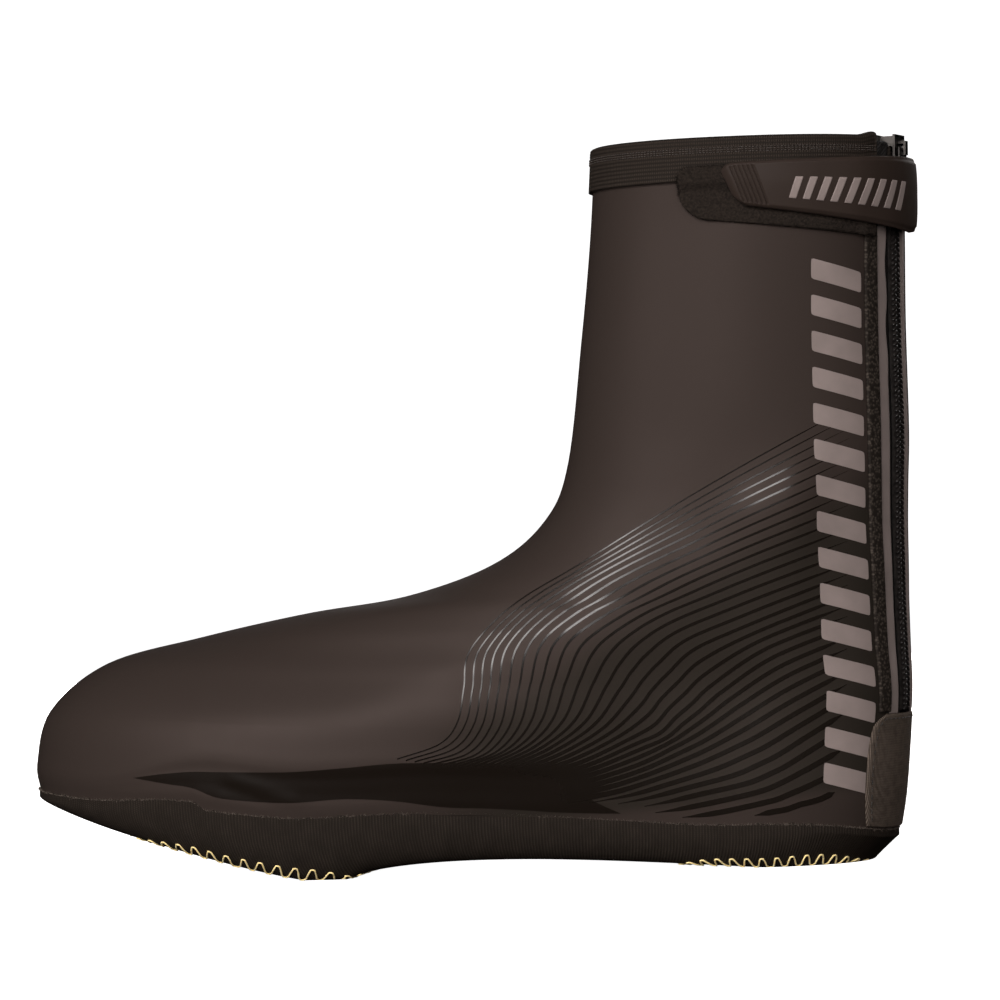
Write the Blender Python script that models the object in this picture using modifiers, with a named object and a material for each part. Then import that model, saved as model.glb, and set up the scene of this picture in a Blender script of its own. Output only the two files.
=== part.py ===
"""Cycling overshoe for a left foot, standing empty on its sole.

The toe points to -X, the heel to +X and the outer (lateral) side faces -Y. The floor is z = 0.
Every piece lies on one form: closed loops stacked from the feather line, where the upper meets
the sole, up to the collar. Each loop is worked out from a row of SECTIONS. A place on the form is
a level (the row number, with parts between rows) and a run (metres along the loop from the middle
of the back, positive round the outer side, negative round the inner side).
"""

import functools
import math
from collections import namedtuple

import bmesh
import bpy
import numpy as np
from mathutils import Matrix, Vector

# Driving sizes, in metres
LENGTH = 0.3025
HEIGHT = 0.236
BALL_WIDTH = 0.106
TOE_SWING = 0.008
TOE_SWING_POWER = 1.7
WALL = 0.0016
SOLE_WALL = 0.0018
SOLE_LIP = 0.0014
GAP = 0.0003

# The outer side's share of the width, how square the loops' ends are, how much of the inner
# waist's hollow the outer side has, and the ball's place along the foot
OUTER_SHARE = 0.507
END_ROUND = 2.2
OUTER_HOLLOW = 0.35
BALL_AT_LENGTH = 0.32

# Where the assembly's middle lies on the form, so that it ends up over the origin
MIDDLE_X = 0.00489
MIDDLE_Y = -0.00073

# Loops of the form. x is a share of LENGTH from the toe and z a share of HEIGHT, at the loop's
# front and back ends. Widths are shares of BALL_WIDTH: at the ball, at the heel, and the hollow of
# the inner waist. ball_at and heel_at are shares of the loop's own length. bow is how closely the
# loop follows the feather line's rise and fall.
Section = namedtuple(
    "Section", "name front_x front_z back_x back_z ball heel hollow ball_at heel_at bow"
)
SECTIONS = (
    Section("feather", 0.0028, 0.125, 0.979, 0.038, 0.953, 0.660, 0.040, 0.32, 0.84, 1.00),
    Section("toe_tip", 0.0000, 0.167, 0.987, 0.093, 0.986, 0.679, 0.035, 0.33, 0.84, 0.45),
    Section("toe_crown", 0.0190, 0.242, 0.994, 0.174, 0.945, 0.660, 0.020, 0.35, 0.84, 0.15),
    Section("toe_top", 0.0884, 0.306, 0.998, 0.237, 0.800, 0.640, 0.010, 0.42, 0.85, 0.00),
    Section("vamp", 0.2025, 0.340, 0.998, 0.297, 0.710, 0.660, 0.000, 0.50, 0.80, 0.00),
    Section("instep", 0.3281, 0.369, 0.998, 0.356, 0.685, 0.685, 0.000, 0.55, 0.75, 0.00),
    Section("throat", 0.4471, 0.389, 0.999, 0.407, 0.700, 0.700, 0.000, 0.54, 0.68, 0.00),
    Section("bend", 0.5446, 0.429, 1.000, 0.466, 0.700, 0.700, 0.000, 0.52, 0.60, 0.00),
    Section("ankle", 0.6041, 0.487, 1.002, 0.525, 0.700, 0.700, 0.000, 0.51, 0.55, 0.00),
    Section("shin_low", 0.6329, 0.565, 1.005, 0.597, 0.700, 0.700, 0.000, 0.50, 0.50, 0.00),
    Section("shin", 0.6540, 0.739, 1.006, 0.746, 0.715, 0.715, 0.000, 0.50, 0.50, 0.00),
    Section("calf", 0.6683, 0.879, 1.009, 0.881, 0.730, 0.730, 0.000, 0.50, 0.50, 0.00),
    Section("collar", 0.6769, 1.000, 1.011, 0.992, 0.735, 0.735, 0.000, 0.50, 0.50, 0.00),
)
COLLAR = len(SECTIONS) - 1

# The feather line's height above the floor along the foot, in metres
Station = namedtuple("Station", "name x height")
FEATHER = (
    Station("toe", 0.0028, 0.0295),
    Station("bumper", 0.100, 0.0273),
    Station("ball_front", 0.225, 0.0260),
    Station("ball", 0.350, 0.0212),
    Station("waist", 0.500, 0.0207),
    Station("waist_back", 0.630, 0.0181),
    Station("heel_front", 0.780, 0.0142),
    Station("heel", 0.930, 0.0120),
    Station("back", 0.979, 0.0090),
)

# The tread: its outline as a section, and its profile along the foot
TREAD = Section("tread", 0.0400, 0, 0.932, 0, 0.790, 0.535, 0.050, 0.31, 0.86, 0)
TOE_SPRING = 0.025
TOE_SPRING_POWER = 1.12
ARCH_RISE = 0.0049
ARCH_POWER = 0.6
TREAD_TURN = 2.0
TREAD_TURN_HEEL = 1.3
HEEL_TURN_FROM = 0.80
HEEL_TURN_TO = 0.93
FLAT_FRONT = (0.351, 0.400)
FLAT_HEEL = (0.847, 0.932)

# Cut-outs of the tread: middle and half sizes, as shares of LENGTH and BALL_WIDTH
Cutout = namedtuple("Cutout", "name middle half_length half_width")
CUTOUTS = (
    Cutout("cleat_cutter", 0.270, 0.127, 0.355),
    Cutout("heel_cutter", 0.844, 0.079, 0.210),
)
CUTOUT_ROUND = 2.6
CUTTER_LOW = -0.02
CUTTER_TALL = 0.06

# The zip's line: its run from the middle of the back, and the slit that it closes
ZIP_RUN_HEEL = 0.0050
ZIP_RUN_COLLAR = 0.0095
SLIT_LOW = 2.0
SLIT_HALF = 0.0122
ZIP_LOW = 2.47
TAPE_LOW = 2.10
CHAIN_HALF = 0.0033
CHAIN_DEPTH = (-0.0026, 0.0014)
TAPE_EDGE = CHAIN_HALF + GAP
TAPE_WIDTH = 0.0150
TAPE_THICK = 0.0008
STRIP_FROM = 0.0072
STRIP_TO = 0.0119
STRIP_THICK = 0.0011
EDGE_FROM = 0.0122
EDGE_TO = 0.0176
EDGE_THICK = 0.0008

# Collar band, folded over the upper's top edge
BAND_LOW = 0.2225
BAND_THICK = 0.0012

# Heel patch
PATCH_LOW = 0.12
PATCH_TOP = 2.44
PATCH_HALF = 0.0235
PATCH_BULGE = 0.0030
PATCH_CORNER = 0.0045
PATCH_CORNER_FROM = 0.86
PATCH_THICK = 0.0009

# Loop patch under the strap's end, on the outer side
LOOP_FROM = 0.0295
LOOP_TO = 0.0885
LOOP_TOP = 0.2272
LOOP_LOW_BACK = 0.2026
LOOP_LOW_FRONT = 0.2108
LOOP_CORNER = 0.0100
LOOP_CORNER_RISE = 0.0095
LOOP_TOP_FALL = 0.0007
LOOP_THICK = 0.0012

# Closure strap: ends as runs, edges as heights. It is sewn down flat near its base
STRAP_TIP = 0.0735
STRAP_BASE = -0.0480
STRAP_THICK = 0.0018
STRAP_TOP_TIP = 0.2275
STRAP_TOP_BACK = 0.2288
STRAP_LOW_TIP = 0.2150
STRAP_LOW_BACK = 0.2042
STRAP_BASE_HALF = 0.0085
STRAP_SLANT = 0.0050
STRAP_ROUND_FROM = 0.93
STRAP_ROUND = 0.35
STRAP_CLIMB = 0.008
STRAP_CLIMB_AHEAD = 0.012
STRAP_SEWN = 0.020
STRAP_SEWN_CLIMB = 0.010
STRAP_OVER_TAB = 0.0050
STRAP_BULGE_HALF = 0.0045
STRAP_BULGE_END = 0.0155

# Zip slider and its pull tab, measured from the zip's own line
SLIDER_HEIGHT = 0.2318
SLIDER_TALL = 0.0088
SLIDER_WIDE = 0.0092
SLIDER_PLATE = 0.0008
SLIDER_OUT = 0.0016
SLIDER_IN = -0.0038
CROWN_WIDE = 0.0024
CROWN_TALL = 0.0046
CROWN_LEG = 0.0009
CROWN_ROOM = 0.0016
CROWN_BAR = 0.0008
TAB_LONG = 0.0180
TAB_WIDE = 0.0062
TAB_THICK = 0.0010
TAB_EYE_WIDE = 0.0032
TAB_EYE_TALL = 0.0040
TAB_EDGE = 0.0003
CORE_HALF = 0.0016
CORE_LOW = 0.0008
CORE_TOP_ROOM = 0.0003

ANGLES = np.linspace(0.0, 2 * math.pi, 721)


def between(share, first, last):
    return first + (last - first) * share


def smooth(share):
    share = np.clip(share, 0.0, 1.0)
    return share * share * (3 - 2 * share)


def through(place, places, values):
    """A smooth line through values that are given at places."""
    slopes = np.gradient(values, places)
    index = np.clip(np.searchsorted(places, place) - 1, 0, len(places) - 2)
    width = places[index + 1] - places[index]
    share = (place - places[index]) / width
    rest = 1 - share
    start = (1 + 2 * share) * rest**2 * values[index] + share * rest**2 * width * slopes[index]
    end = share**2 * (3 - 2 * share) * values[index + 1]
    return start + end - share**2 * rest * width * slopes[index + 1]


def along(x):
    """An x of the form as a share of its length from the toe."""
    return x / LENGTH + 0.5


def feather_height(x):
    places = np.array([station.x for station in FEATHER])
    heights = np.array([station.height for station in FEATHER])
    return through(np.clip(along(x), places[0], places[-1]), places, heights)


def tread_height(x):
    """The underside's height: toe spring, flat ball, arch, flat heel."""
    place = along(x)
    ahead = np.clip((FLAT_FRONT[0] - place) / (FLAT_FRONT[0] - TREAD.front_x), 0, None)
    arch = np.clip((place - FLAT_FRONT[1]) / (FLAT_HEEL[0] - FLAT_FRONT[1]), 0, 1)
    return TOE_SPRING * ahead**TOE_SPRING_POWER + ARCH_RISE * np.sin(math.pi * arch**ARCH_POWER)


def middle_line(x):
    """How far the last swings to the inner side in front of the ball."""
    ahead = np.clip((BALL_AT_LENGTH - along(x)) / BALL_AT_LENGTH, 0, None)
    return TOE_SWING * ahead**TOE_SWING_POWER


def section_at(level):
    columns = np.array([row[1:] for row in SECTIONS])
    rows = np.arange(len(SECTIONS), dtype=float)
    return Section("between", *(through(level, rows, column) for column in columns.T))


def half_width(section, share, inner):
    """Half width of a loop at a share of its length, on the inner or the outer side."""
    side = 2 * (1 - OUTER_SHARE) if inner else 2 * OUTER_SHARE
    ball = section.ball * BALL_WIDTH / 2 * side
    heel = section.heel * BALL_WIDTH / 2 * side
    hollow = section.hollow * BALL_WIDTH * (1.0 if inner else OUTER_HOLLOW)
    ball_at = section.ball_at
    heel_at = max(section.heel_at, ball_at + 1e-4)
    waist = np.clip((share - ball_at) / (heel_at - ball_at), 0, 1)
    width = between(smooth(waist), ball, heel) - hollow * np.sin(math.pi * waist) ** 2
    front = np.clip((ball_at - share) / ball_at, 0, 1)
    back = np.clip((share - heel_at) / (1 - heel_at), 0, 1)
    return width * (1 - np.maximum(front, back) ** END_ROUND) ** (1 / END_ROUND)


def outline(section, angles):
    """x and y of a loop, from the back (angle 0) round the outer side to the front (pi) and on."""
    share = (1 + np.cos(angles)) / 2
    x = (between(share, section.front_x, section.back_x) - 0.5) * LENGTH
    outer = -half_width(section, share, False)
    inner = half_width(section, share, True)
    return share, x, middle_line(x) + np.where(np.sin(angles) >= 0, outer, inner)


@functools.lru_cache(maxsize=None)
def loop(level):
    """A loop's points and their run along it."""
    section = section_at(level)
    share, x, y = outline(section, ANGLES)
    z = between(share, section.front_z, section.back_z) * HEIGHT
    first = SECTIONS[0]
    chord = (along(x) - first.front_x) / (first.back_x - first.front_x)
    straight = between(chord, first.front_z, first.back_z) * HEIGHT
    z = z + section.bow * (feather_height(x) - straight)
    points = np.stack([x, y, z], axis=1)
    steps = np.linalg.norm(np.diff(points, axis=0), axis=1)
    return points, np.concatenate([[0.0], np.cumsum(steps)])


def angle_at(level, run):
    runs = loop(level)[1]
    if run < 0:
        return np.interp(runs[-1] + run, runs, ANGLES) - 2 * math.pi
    return np.interp(run, runs, ANGLES)


def on_form(level, angle):
    points = loop(level)[0]
    angle = angle % (2 * math.pi)
    return np.array([np.interp(angle, ANGLES, points[:, axis]) for axis in range(3)])


def normal_at(level, angle):
    step = 0.01
    low = max(level - step, 0.0)
    high = min(level + step, float(COLLAR))
    up = on_form(high, angle) - on_form(low, angle)
    round_it = on_form(level, angle + 0.02) - on_form(level, angle - 0.02)
    normal = np.cross(up, round_it)
    return normal / np.linalg.norm(normal)


def lifted(level, angle, lift):
    return on_form(level, angle) + normal_at(level, angle) * lift


def level_at(height, run):
    """The level that has this height at a run, found by halving."""
    low, high = 0.0, float(COLLAR)
    for _ in range(30):
        level = (low + high) / 2
        if on_form(level, angle_at(level, run))[2] < height:
            low = level
        else:
            high = level
    return round(level, 6)


def zip_run(level):
    share = (level - SLIT_LOW) / (COLLAR - SLIT_LOW)
    return between(max(share, 0.0), ZIP_RUN_HEEL, ZIP_RUN_COLLAR)


def upper_angles(level, count):
    """Angles round the upper from the slit's outer edge to its inner edge."""
    start = angle_at(level, zip_run(level) + SLIT_HALF)
    end = angle_at(level, zip_run(level) - SLIT_HALF) + 2 * math.pi
    outer = np.linspace(start, math.pi, count, endpoint=False)
    return np.concatenate([outer, np.linspace(math.pi, end, count + 1)])


def heel_angles(level, count):
    """Angles across the back, below the slit, from its inner edge to its outer edge."""
    runs = zip_run(level) + np.linspace(-SLIT_HALF, SLIT_HALF, count + 1)
    return [angle_at(level, run) for run in runs]


# Scene and helpers that make objects
for old in list(bpy.data.objects):
    bpy.data.objects.remove(old)

parts = bpy.data.collections.new("cycling_overshoe")
cutters = bpy.data.collections.new("cutters")
bpy.context.scene.collection.children.link(parts)
bpy.context.scene.collection.children.link(cutters)

root = bpy.data.objects.new("overshoe_frame", None)
root.location = (-MIDDLE_X, -MIDDLE_Y, 0.0)
parts.objects.link(root)


def material(name, colour, roughness, metallic=0.0):
    made = bpy.data.materials.new(name)
    made.use_nodes = True
    shader = made.node_tree.nodes["Principled BSDF"]
    shader.inputs["Base Color"].default_value = (*colour, 1.0)
    shader.inputs["Roughness"].default_value = roughness
    shader.inputs["Metallic"].default_value = metallic
    made.diffuse_color = (*colour, 1.0)
    return made


coated = material("coated_fabric", (0.046, 0.036, 0.031), 0.45)
woven = material("woven_base", (0.018, 0.014, 0.012), 0.85)
ribbed = material("ribbed_elastic", (0.012, 0.010, 0.010), 0.80)
stretch = material("stretch_weave", (0.030, 0.024, 0.020), 0.75)
rubber = material("moulded_rubber", (0.020, 0.018, 0.017), 0.50)
pile = material("pile", (0.006, 0.005, 0.005), 0.95)
reflective = material("reflective_film", (0.30, 0.27, 0.26), 0.40)
edging = material("edge_tape", (0.014, 0.012, 0.011), 0.70)
zip_cloth = material("zip_tape", (0.012, 0.011, 0.011), 0.80)
coil = material("zip_coil", (0.020, 0.018, 0.017), 0.35)
metal = material("slider_metal", (0.25, 0.24, 0.24), 0.30, 1.0)


def mesh_object(name, mesh, coat, group=parts, parent=root):
    made = bpy.data.objects.new(name, mesh)
    if coat:
        mesh.materials.append(coat)
    made.parent = parent
    group.objects.link(made)
    return made


def sheet(name, rows, coat, thickness, outward, weld=False, more_rows=()):
    """An open surface through rows of points, lowest row first, made solid to one side."""
    points = []
    faces = []
    for grid in (rows, more_rows):
        first = len(points)
        points += [tuple(point) for row in grid for point in row]
        for row in range(len(grid) - 1):
            count = len(grid[0])
            for column in range(count - 1):
                corner = first + row * count + column
                faces.append((corner, corner + count, corner + count + 1, corner + 1))
    mesh = bpy.data.meshes.new(name)
    mesh.from_pydata(points, [], faces)
    if weld:
        edit = bmesh.new()
        edit.from_mesh(mesh)
        bmesh.ops.remove_doubles(edit, verts=edit.verts, dist=1e-6)
        bmesh.ops.dissolve_degenerate(edit, edges=edit.edges, dist=1e-7)
        edit.to_mesh(mesh)
        edit.free()
    made = mesh_object(name, mesh, coat)
    wall = made.modifiers.new("wall", "SOLIDIFY")
    wall.thickness = thickness
    wall.offset = 1.0 if outward else -1.0
    wall.use_even_offset = True
    return made


def loft(name, loops, coat):
    """A solid through closed loops of points, capped at both ends."""
    edit = bmesh.new()
    rings = [[edit.verts.new(tuple(point)) for point in ring] for ring in loops]
    count = len(loops[0])
    for low, high in zip(rings, rings[1:]):
        for index in range(count):
            after = (index + 1) % count
            edit.faces.new((low[index], low[after], high[after], high[index]))
    edit.faces.new(rings[0])
    edit.faces.new(rings[-1])
    bmesh.ops.recalc_face_normals(edit, faces=edit.faces)
    mesh = bpy.data.meshes.new(name)
    edit.to_mesh(mesh)
    edit.free()
    return mesh_object(name, mesh, coat)


def box(edit, low, high):
    """Adds a box between two corners to a bmesh."""
    size = Vector(high) - Vector(low)
    place = Matrix.Translation((Vector(low) + Vector(high)) / 2) @ Matrix.Diagonal((*size, 1.0))
    bmesh.ops.create_cube(edit, size=1.0, matrix=place)


def box_object(name, low, high, coat, group, parent):
    edit = bmesh.new()
    box(edit, low, high)
    mesh = bpy.data.meshes.new(name)
    edit.to_mesh(mesh)
    edit.free()
    made = mesh_object(name, mesh, coat, group, parent)
    if group is cutters:
        made.hide_render = True
        made.display_type = "WIRE"
    return made


def boolean(made, other, operation):
    step = made.modifiers.new(other.name, "BOOLEAN")
    step.operation = operation
    step.solver = "EXACT"
    step.object = other


# Upper
UPPER_LEVELS = np.arange(0.0, COLLAR + 0.25, 0.5)
UPPER_COLUMNS = 22
sheet(
    "upper",
    [
        [on_form(level, angle) for angle in upper_angles(level, UPPER_COLUMNS)]
        for level in UPPER_LEVELS
    ],
    coated,
    WALL,
    False,
    weld=True,
    more_rows=[
        [on_form(level, angle) for angle in heel_angles(level, 5)]
        for level in UPPER_LEVELS
        if level <= SLIT_LOW
    ],
)

# Sole panel: rand, tread and the two cut-outs
SOLE_COLUMNS = 50
SOLE_DROPS = (2.0, 1.6, 1.25, 1.0, 0.82, 0.6, 0.35, 0.0)


def sole_angles():
    """Even steps round the sole, with columns set where the tread's flats begin and end."""
    places = np.array([*FLAT_FRONT, FLAT_HEEL[0]])
    shares = (places - TREAD.front_x) / (TREAD.back_x - TREAD.front_x)
    marks = np.arccos(2 * shares - 1)
    even = np.linspace(0, math.pi, SOLE_COLUMNS // 2 + 1)
    kept = [angle for angle in even if np.abs(marks - angle).min() > 0.05]
    half = np.sort(np.concatenate([kept, marks]))
    return np.concatenate([half, 2 * math.pi - half[-2::-1]])


def sole_row(drop):
    """The sole's loop: drop 0 lies under its lip, 1 is the tread's edge, 2 the line along its middle."""
    angles = sole_angles()
    top = np.array([on_form(0.0, angle) for angle in angles])
    _, x, y = outline(TREAD, angles)
    low = np.stack([x, y, tread_height(x)], axis=1)
    turn = min(drop, 1.0) * math.pi / 2
    at_heel = smooth((along(x) - HEEL_TURN_FROM) / (HEEL_TURN_TO - HEEL_TURN_FROM))
    square = between(at_heel, TREAD_TURN, TREAD_TURN_HEEL)
    inward = 1 - max(math.cos(turn), 0.0) ** (2 / square)
    down = math.sin(turn) ** (2 / square)
    under_lip = top - np.array([0, 0, GAP + SOLE_LIP])
    row = between(np.stack([inward, inward, down], axis=1), under_lip, low)
    to_middle = max(drop - 1.0, 0.0)
    row[:, 1] = between(to_middle, row[:, 1], middle_line(row[:, 0]))
    return row


sole_rows = [sole_row(drop) for drop in SOLE_DROPS]
sole_rows.append(sole_rows[-1] + np.array([0, 0, SOLE_LIP]))
sole = sheet("sole_panel", sole_rows, woven, SOLE_WALL, False, weld=True)
for cutout in CUTOUTS:
    edit = bmesh.new()
    shape = np.linspace(0, 2 * math.pi, 40, endpoint=False)
    x = cutout.half_length * LENGTH * np.sign(np.cos(shape)) * np.abs(np.cos(shape)) ** (2 / CUTOUT_ROUND)
    y = cutout.half_width * BALL_WIDTH * np.sign(np.sin(shape)) * np.abs(np.sin(shape)) ** (2 / CUTOUT_ROUND)
    x = x + (cutout.middle - 0.5) * LENGTH
    floor = [edit.verts.new((px, py + middle_line(px), CUTTER_LOW)) for px, py in zip(x, y)]
    face = edit.faces.new(floor)
    moved = bmesh.ops.extrude_face_region(edit, geom=[face])["geom"]
    lifted_up = [item for item in moved if isinstance(item, bmesh.types.BMVert)]
    bmesh.ops.translate(edit, verts=lifted_up, vec=(0, 0, CUTTER_TALL))
    bmesh.ops.recalc_face_normals(edit, faces=edit.faces)
    mesh = bpy.data.meshes.new(cutout.name)
    edit.to_mesh(mesh)
    edit.free()
    cutter = mesh_object(cutout.name, mesh, None, cutters)
    cutter.hide_render = True
    cutter.display_type = "WIRE"
    boolean(sole, cutter, "DIFFERENCE")

# Collar band: a fold of elastic over the upper's edge, open at the zip
band_level = level_at(BAND_LOW, 0.06)
band_loops = []
for top_angle, low_angle in zip(
    upper_angles(float(COLLAR), UPPER_COLUMNS), upper_angles(band_level, UPPER_COLUMNS)
):
    outside = GAP + BAND_THICK
    inside = WALL + GAP
    top_normal = normal_at(float(COLLAR), top_angle)
    top = on_form(float(COLLAR), top_angle)
    up = np.array([0.0, 0.0, GAP])
    over = np.array([0.0, 0.0, GAP + BAND_THICK])
    band_loops.append(
        [
            lifted(band_level, low_angle, GAP),
            lifted(band_level, low_angle, outside),
            top + top_normal * outside,
            top + top_normal * (outside - BAND_THICK * 0.5) + over * 0.8,
            top - top_normal * WALL / 2 + over,
            top - top_normal * (inside + BAND_THICK * 0.5) + over * 0.8,
            top - top_normal * (inside + BAND_THICK),
            lifted(band_level, low_angle, -inside - BAND_THICK),
            lifted(band_level, low_angle, -inside),
            top - top_normal * inside + up,
            top + top_normal * GAP + up,
        ]
    )
loft("collar_band", band_loops, ribbed)

# Heel patch over the end of the zip
PATCH_ROWS = 9
PATCH_COLUMNS = 14


def heel_patch_row(share):
    level = round(between(share, PATCH_LOW, PATCH_TOP), 6)
    corner = PATCH_CORNER * max((share - PATCH_CORNER_FROM) / (1 - PATCH_CORNER_FROM), 0.0) ** 2
    half = PATCH_HALF + PATCH_BULGE * math.sin(math.pi * share) - corner
    runs = np.linspace(-half, half, PATCH_COLUMNS + 1)
    return [lifted(level, angle_at(level, run), GAP) for run in runs]


sheet(
    "heel_patch",
    [heel_patch_row(share) for share in np.linspace(0, 1, PATCH_ROWS)],
    stretch,
    PATCH_THICK,
    True,
)

# Zip: two tapes behind the slit's edges, the coil between them, strips and edge tapes
EDGE_TOP = band_level - 0.02
EDGE_LEVELS = np.concatenate([[ZIP_LOW], np.arange(3.0, EDGE_TOP - 0.1, 0.5), [EDGE_TOP - 0.015]])
ZIP_LEVELS = np.concatenate([EDGE_LEVELS, [EDGE_TOP, COLLAR - 0.05]])
TAPE_LEVELS = np.concatenate([[TAPE_LOW], ZIP_LEVELS])


def tape_far(level):
    """The tapes run on behind the upper, but keep inside the slit behind the collar band."""
    return TAPE_EDGE + TAPE_WIDTH if level < EDGE_TOP else SLIT_HALF - GAP


def zip_strip(name, levels, near, far, lift, coat, thickness, columns, inner):
    """A strip beside the zip's line, between two distances from it."""
    rows = []
    for level in levels:
        spread = np.linspace(near, far(level), columns)
        runs = zip_run(level) + (-spread[::-1] if inner else spread)
        rows.append([lifted(level, angle_at(level, run), lift) for run in runs])
    sheet(name, rows, coat, thickness, True)


for side, inner in (("lateral", False), ("medial", True)):
    tape_lift = -WALL - 2 * GAP - TAPE_THICK
    zip_strip(
        f"zip_tape_{side}", TAPE_LEVELS, TAPE_EDGE, tape_far, tape_lift,
        zip_cloth, TAPE_THICK, 4, inner,
    )
    zip_strip(
        f"reflective_strip_{side}", ZIP_LEVELS, STRIP_FROM, lambda level: STRIP_TO,
        tape_lift + TAPE_THICK + GAP, reflective, STRIP_THICK, 3, inner,
    )
    zip_strip(
        f"edge_tape_{side}", EDGE_LEVELS, EDGE_FROM, lambda level: EDGE_TO,
        GAP, edging, EDGE_THICK, 3, inner,
    )

slider_level = level_at(SLIDER_HEIGHT, zip_run(COLLAR))
chain_top = level_at(SLIDER_HEIGHT - SLIDER_TALL / 2 - GAP, zip_run(COLLAR))
chain_loops = []
for level in np.concatenate([[ZIP_LOW], np.arange(3.0, chain_top - 0.1, 0.5), [chain_top]]):
    low, high = CHAIN_DEPTH
    round_off = (high - low) * 0.3
    profile = (
        (-CHAIN_HALF, low),
        (-CHAIN_HALF, high - round_off),
        (-CHAIN_HALF * 0.55, high),
        (CHAIN_HALF * 0.55, high),
        (CHAIN_HALF, high - round_off),
        (CHAIN_HALF, low),
    )
    chain_loops.append(
        [lifted(level, angle_at(level, zip_run(level) + run), lift) for run, lift in profile]
    )
loft("zip_chain", chain_loops, coil)

# Loop patch, and the strap that closes over it
BAND_STEP = GAP + BAND_THICK


def over_band(level):
    """How far a piece on the form stands out where it climbs over the collar band."""
    return BAND_STEP * smooth((level - band_level + 0.13) / 0.11)


def loop_low(run):
    share = (run - LOOP_FROM) / (LOOP_TO - LOOP_FROM)
    corner = np.clip((run - LOOP_TO + LOOP_CORNER) / LOOP_CORNER, 0, 1)
    rise = LOOP_CORNER_RISE * (1 - math.sqrt(max(1 - corner**2, 0.0)))
    return between(share, LOOP_LOW_BACK, LOOP_LOW_FRONT) + rise


def loop_top(run):
    corner = np.clip((run - LOOP_TO + LOOP_CORNER) / LOOP_CORNER, 0, 1)
    return LOOP_TOP - LOOP_TOP_FALL * corner**2


def panel(name, runs, low, high, rows, lift, coat, thickness):
    """A panel on the form between two edges given as heights along its runs."""
    grid = []
    for share in np.linspace(0, 1, rows):
        row = []
        for run in runs:
            height = between(share, low(run), high(run))
            level = level_at(height, run)
            row.append(lifted(level, angle_at(level, run), lift(level)))
        grid.append(row)
    sheet(name, grid, coat, thickness, True)


loop_steps = 1 - (1 - np.linspace(0, 1, 13)) ** 1.6
panel(
    "loop_patch",
    between(loop_steps, LOOP_FROM, LOOP_TO),
    loop_low,
    loop_top,
    9,
    lambda level: GAP + over_band(level),
    pile,
    LOOP_THICK,
)


def strap_share(run):
    """0 over the zip, 1 at the strap's tip and -1 at its base."""
    off = run - ZIP_RUN_COLLAR
    return off / (STRAP_TIP - ZIP_RUN_COLLAR) if off > 0 else off / (ZIP_RUN_COLLAR - STRAP_BASE)


def strap_middle_half(run):
    share = strap_share(run)
    top = between(abs(share), STRAP_TOP_BACK, STRAP_TOP_TIP)
    low = between(abs(share), STRAP_LOW_BACK, STRAP_LOW_TIP)
    if share < 0:
        low = between(-share, STRAP_LOW_BACK, STRAP_TOP_TIP - 2 * STRAP_BASE_HALF)
    end = max((abs(share) - STRAP_ROUND_FROM) / (1 - STRAP_ROUND_FROM), 0.0)
    return (top + low) / 2, (top - low) / 2 * (1 - STRAP_ROUND * end**2)


def strap_lift(run, level):
    on_loop = LOOP_THICK + 3 * GAP + over_band(level)
    on_upper = GAP + over_band(level)
    climbed = smooth((run - LOOP_FROM + STRAP_CLIMB_AHEAD) / STRAP_CLIMB)
    rest = between(climbed, on_upper, on_loop)
    on_edge = GAP + EDGE_THICK + GAP
    rest = max(rest, on_edge * smooth((run - STRAP_BASE - STRAP_SEWN) / STRAP_SEWN_CLIMB))
    away = abs(run - ZIP_RUN_COLLAR)
    bulge = 1 - smooth((away - STRAP_BULGE_HALF) / (STRAP_BULGE_END - STRAP_BULGE_HALF))
    return between(bulge, rest, max(STRAP_OVER_TAB, rest))


def strap_grid():
    rows = []
    for share in np.linspace(-1, 1, 7):
        row = []
        for run in np.linspace(STRAP_BASE, STRAP_TIP, 31):
            slant = STRAP_SLANT * (share - 1) / 2 * max(strap_share(run), 0.0) ** 3
            middle, half = strap_middle_half(run)
            height = middle + share * half
            level = level_at(height, run + slant)
            place = angle_at(level, run + slant)
            row.append(lifted(level, place, strap_lift(run + slant, level)))
        rows.append(row)
    return rows


sheet("closure_strap", strap_grid(), rubber, STRAP_THICK, True)

# Slider and pull tab, built square and then set on the zip's line
slider_angle = angle_at(slider_level, zip_run(COLLAR))
slider_at = on_form(slider_level, slider_angle)
slider_out = Vector(normal_at(slider_level, slider_angle))
slider_up = Vector(on_form(slider_level + 0.05, slider_angle) - on_form(slider_level - 0.05, slider_angle))
slider_up = (slider_up - slider_out * slider_up.dot(slider_out)).normalized()
slider_across = slider_out.cross(slider_up)
slider_frame = bpy.data.objects.new("slider_frame", None)
slider_frame.matrix_local = Matrix.Translation(slider_at) @ Matrix(
    (slider_across, slider_out, slider_up)
).transposed().to_4x4()
slider_frame.parent = root
parts.objects.link(slider_frame)

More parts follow.
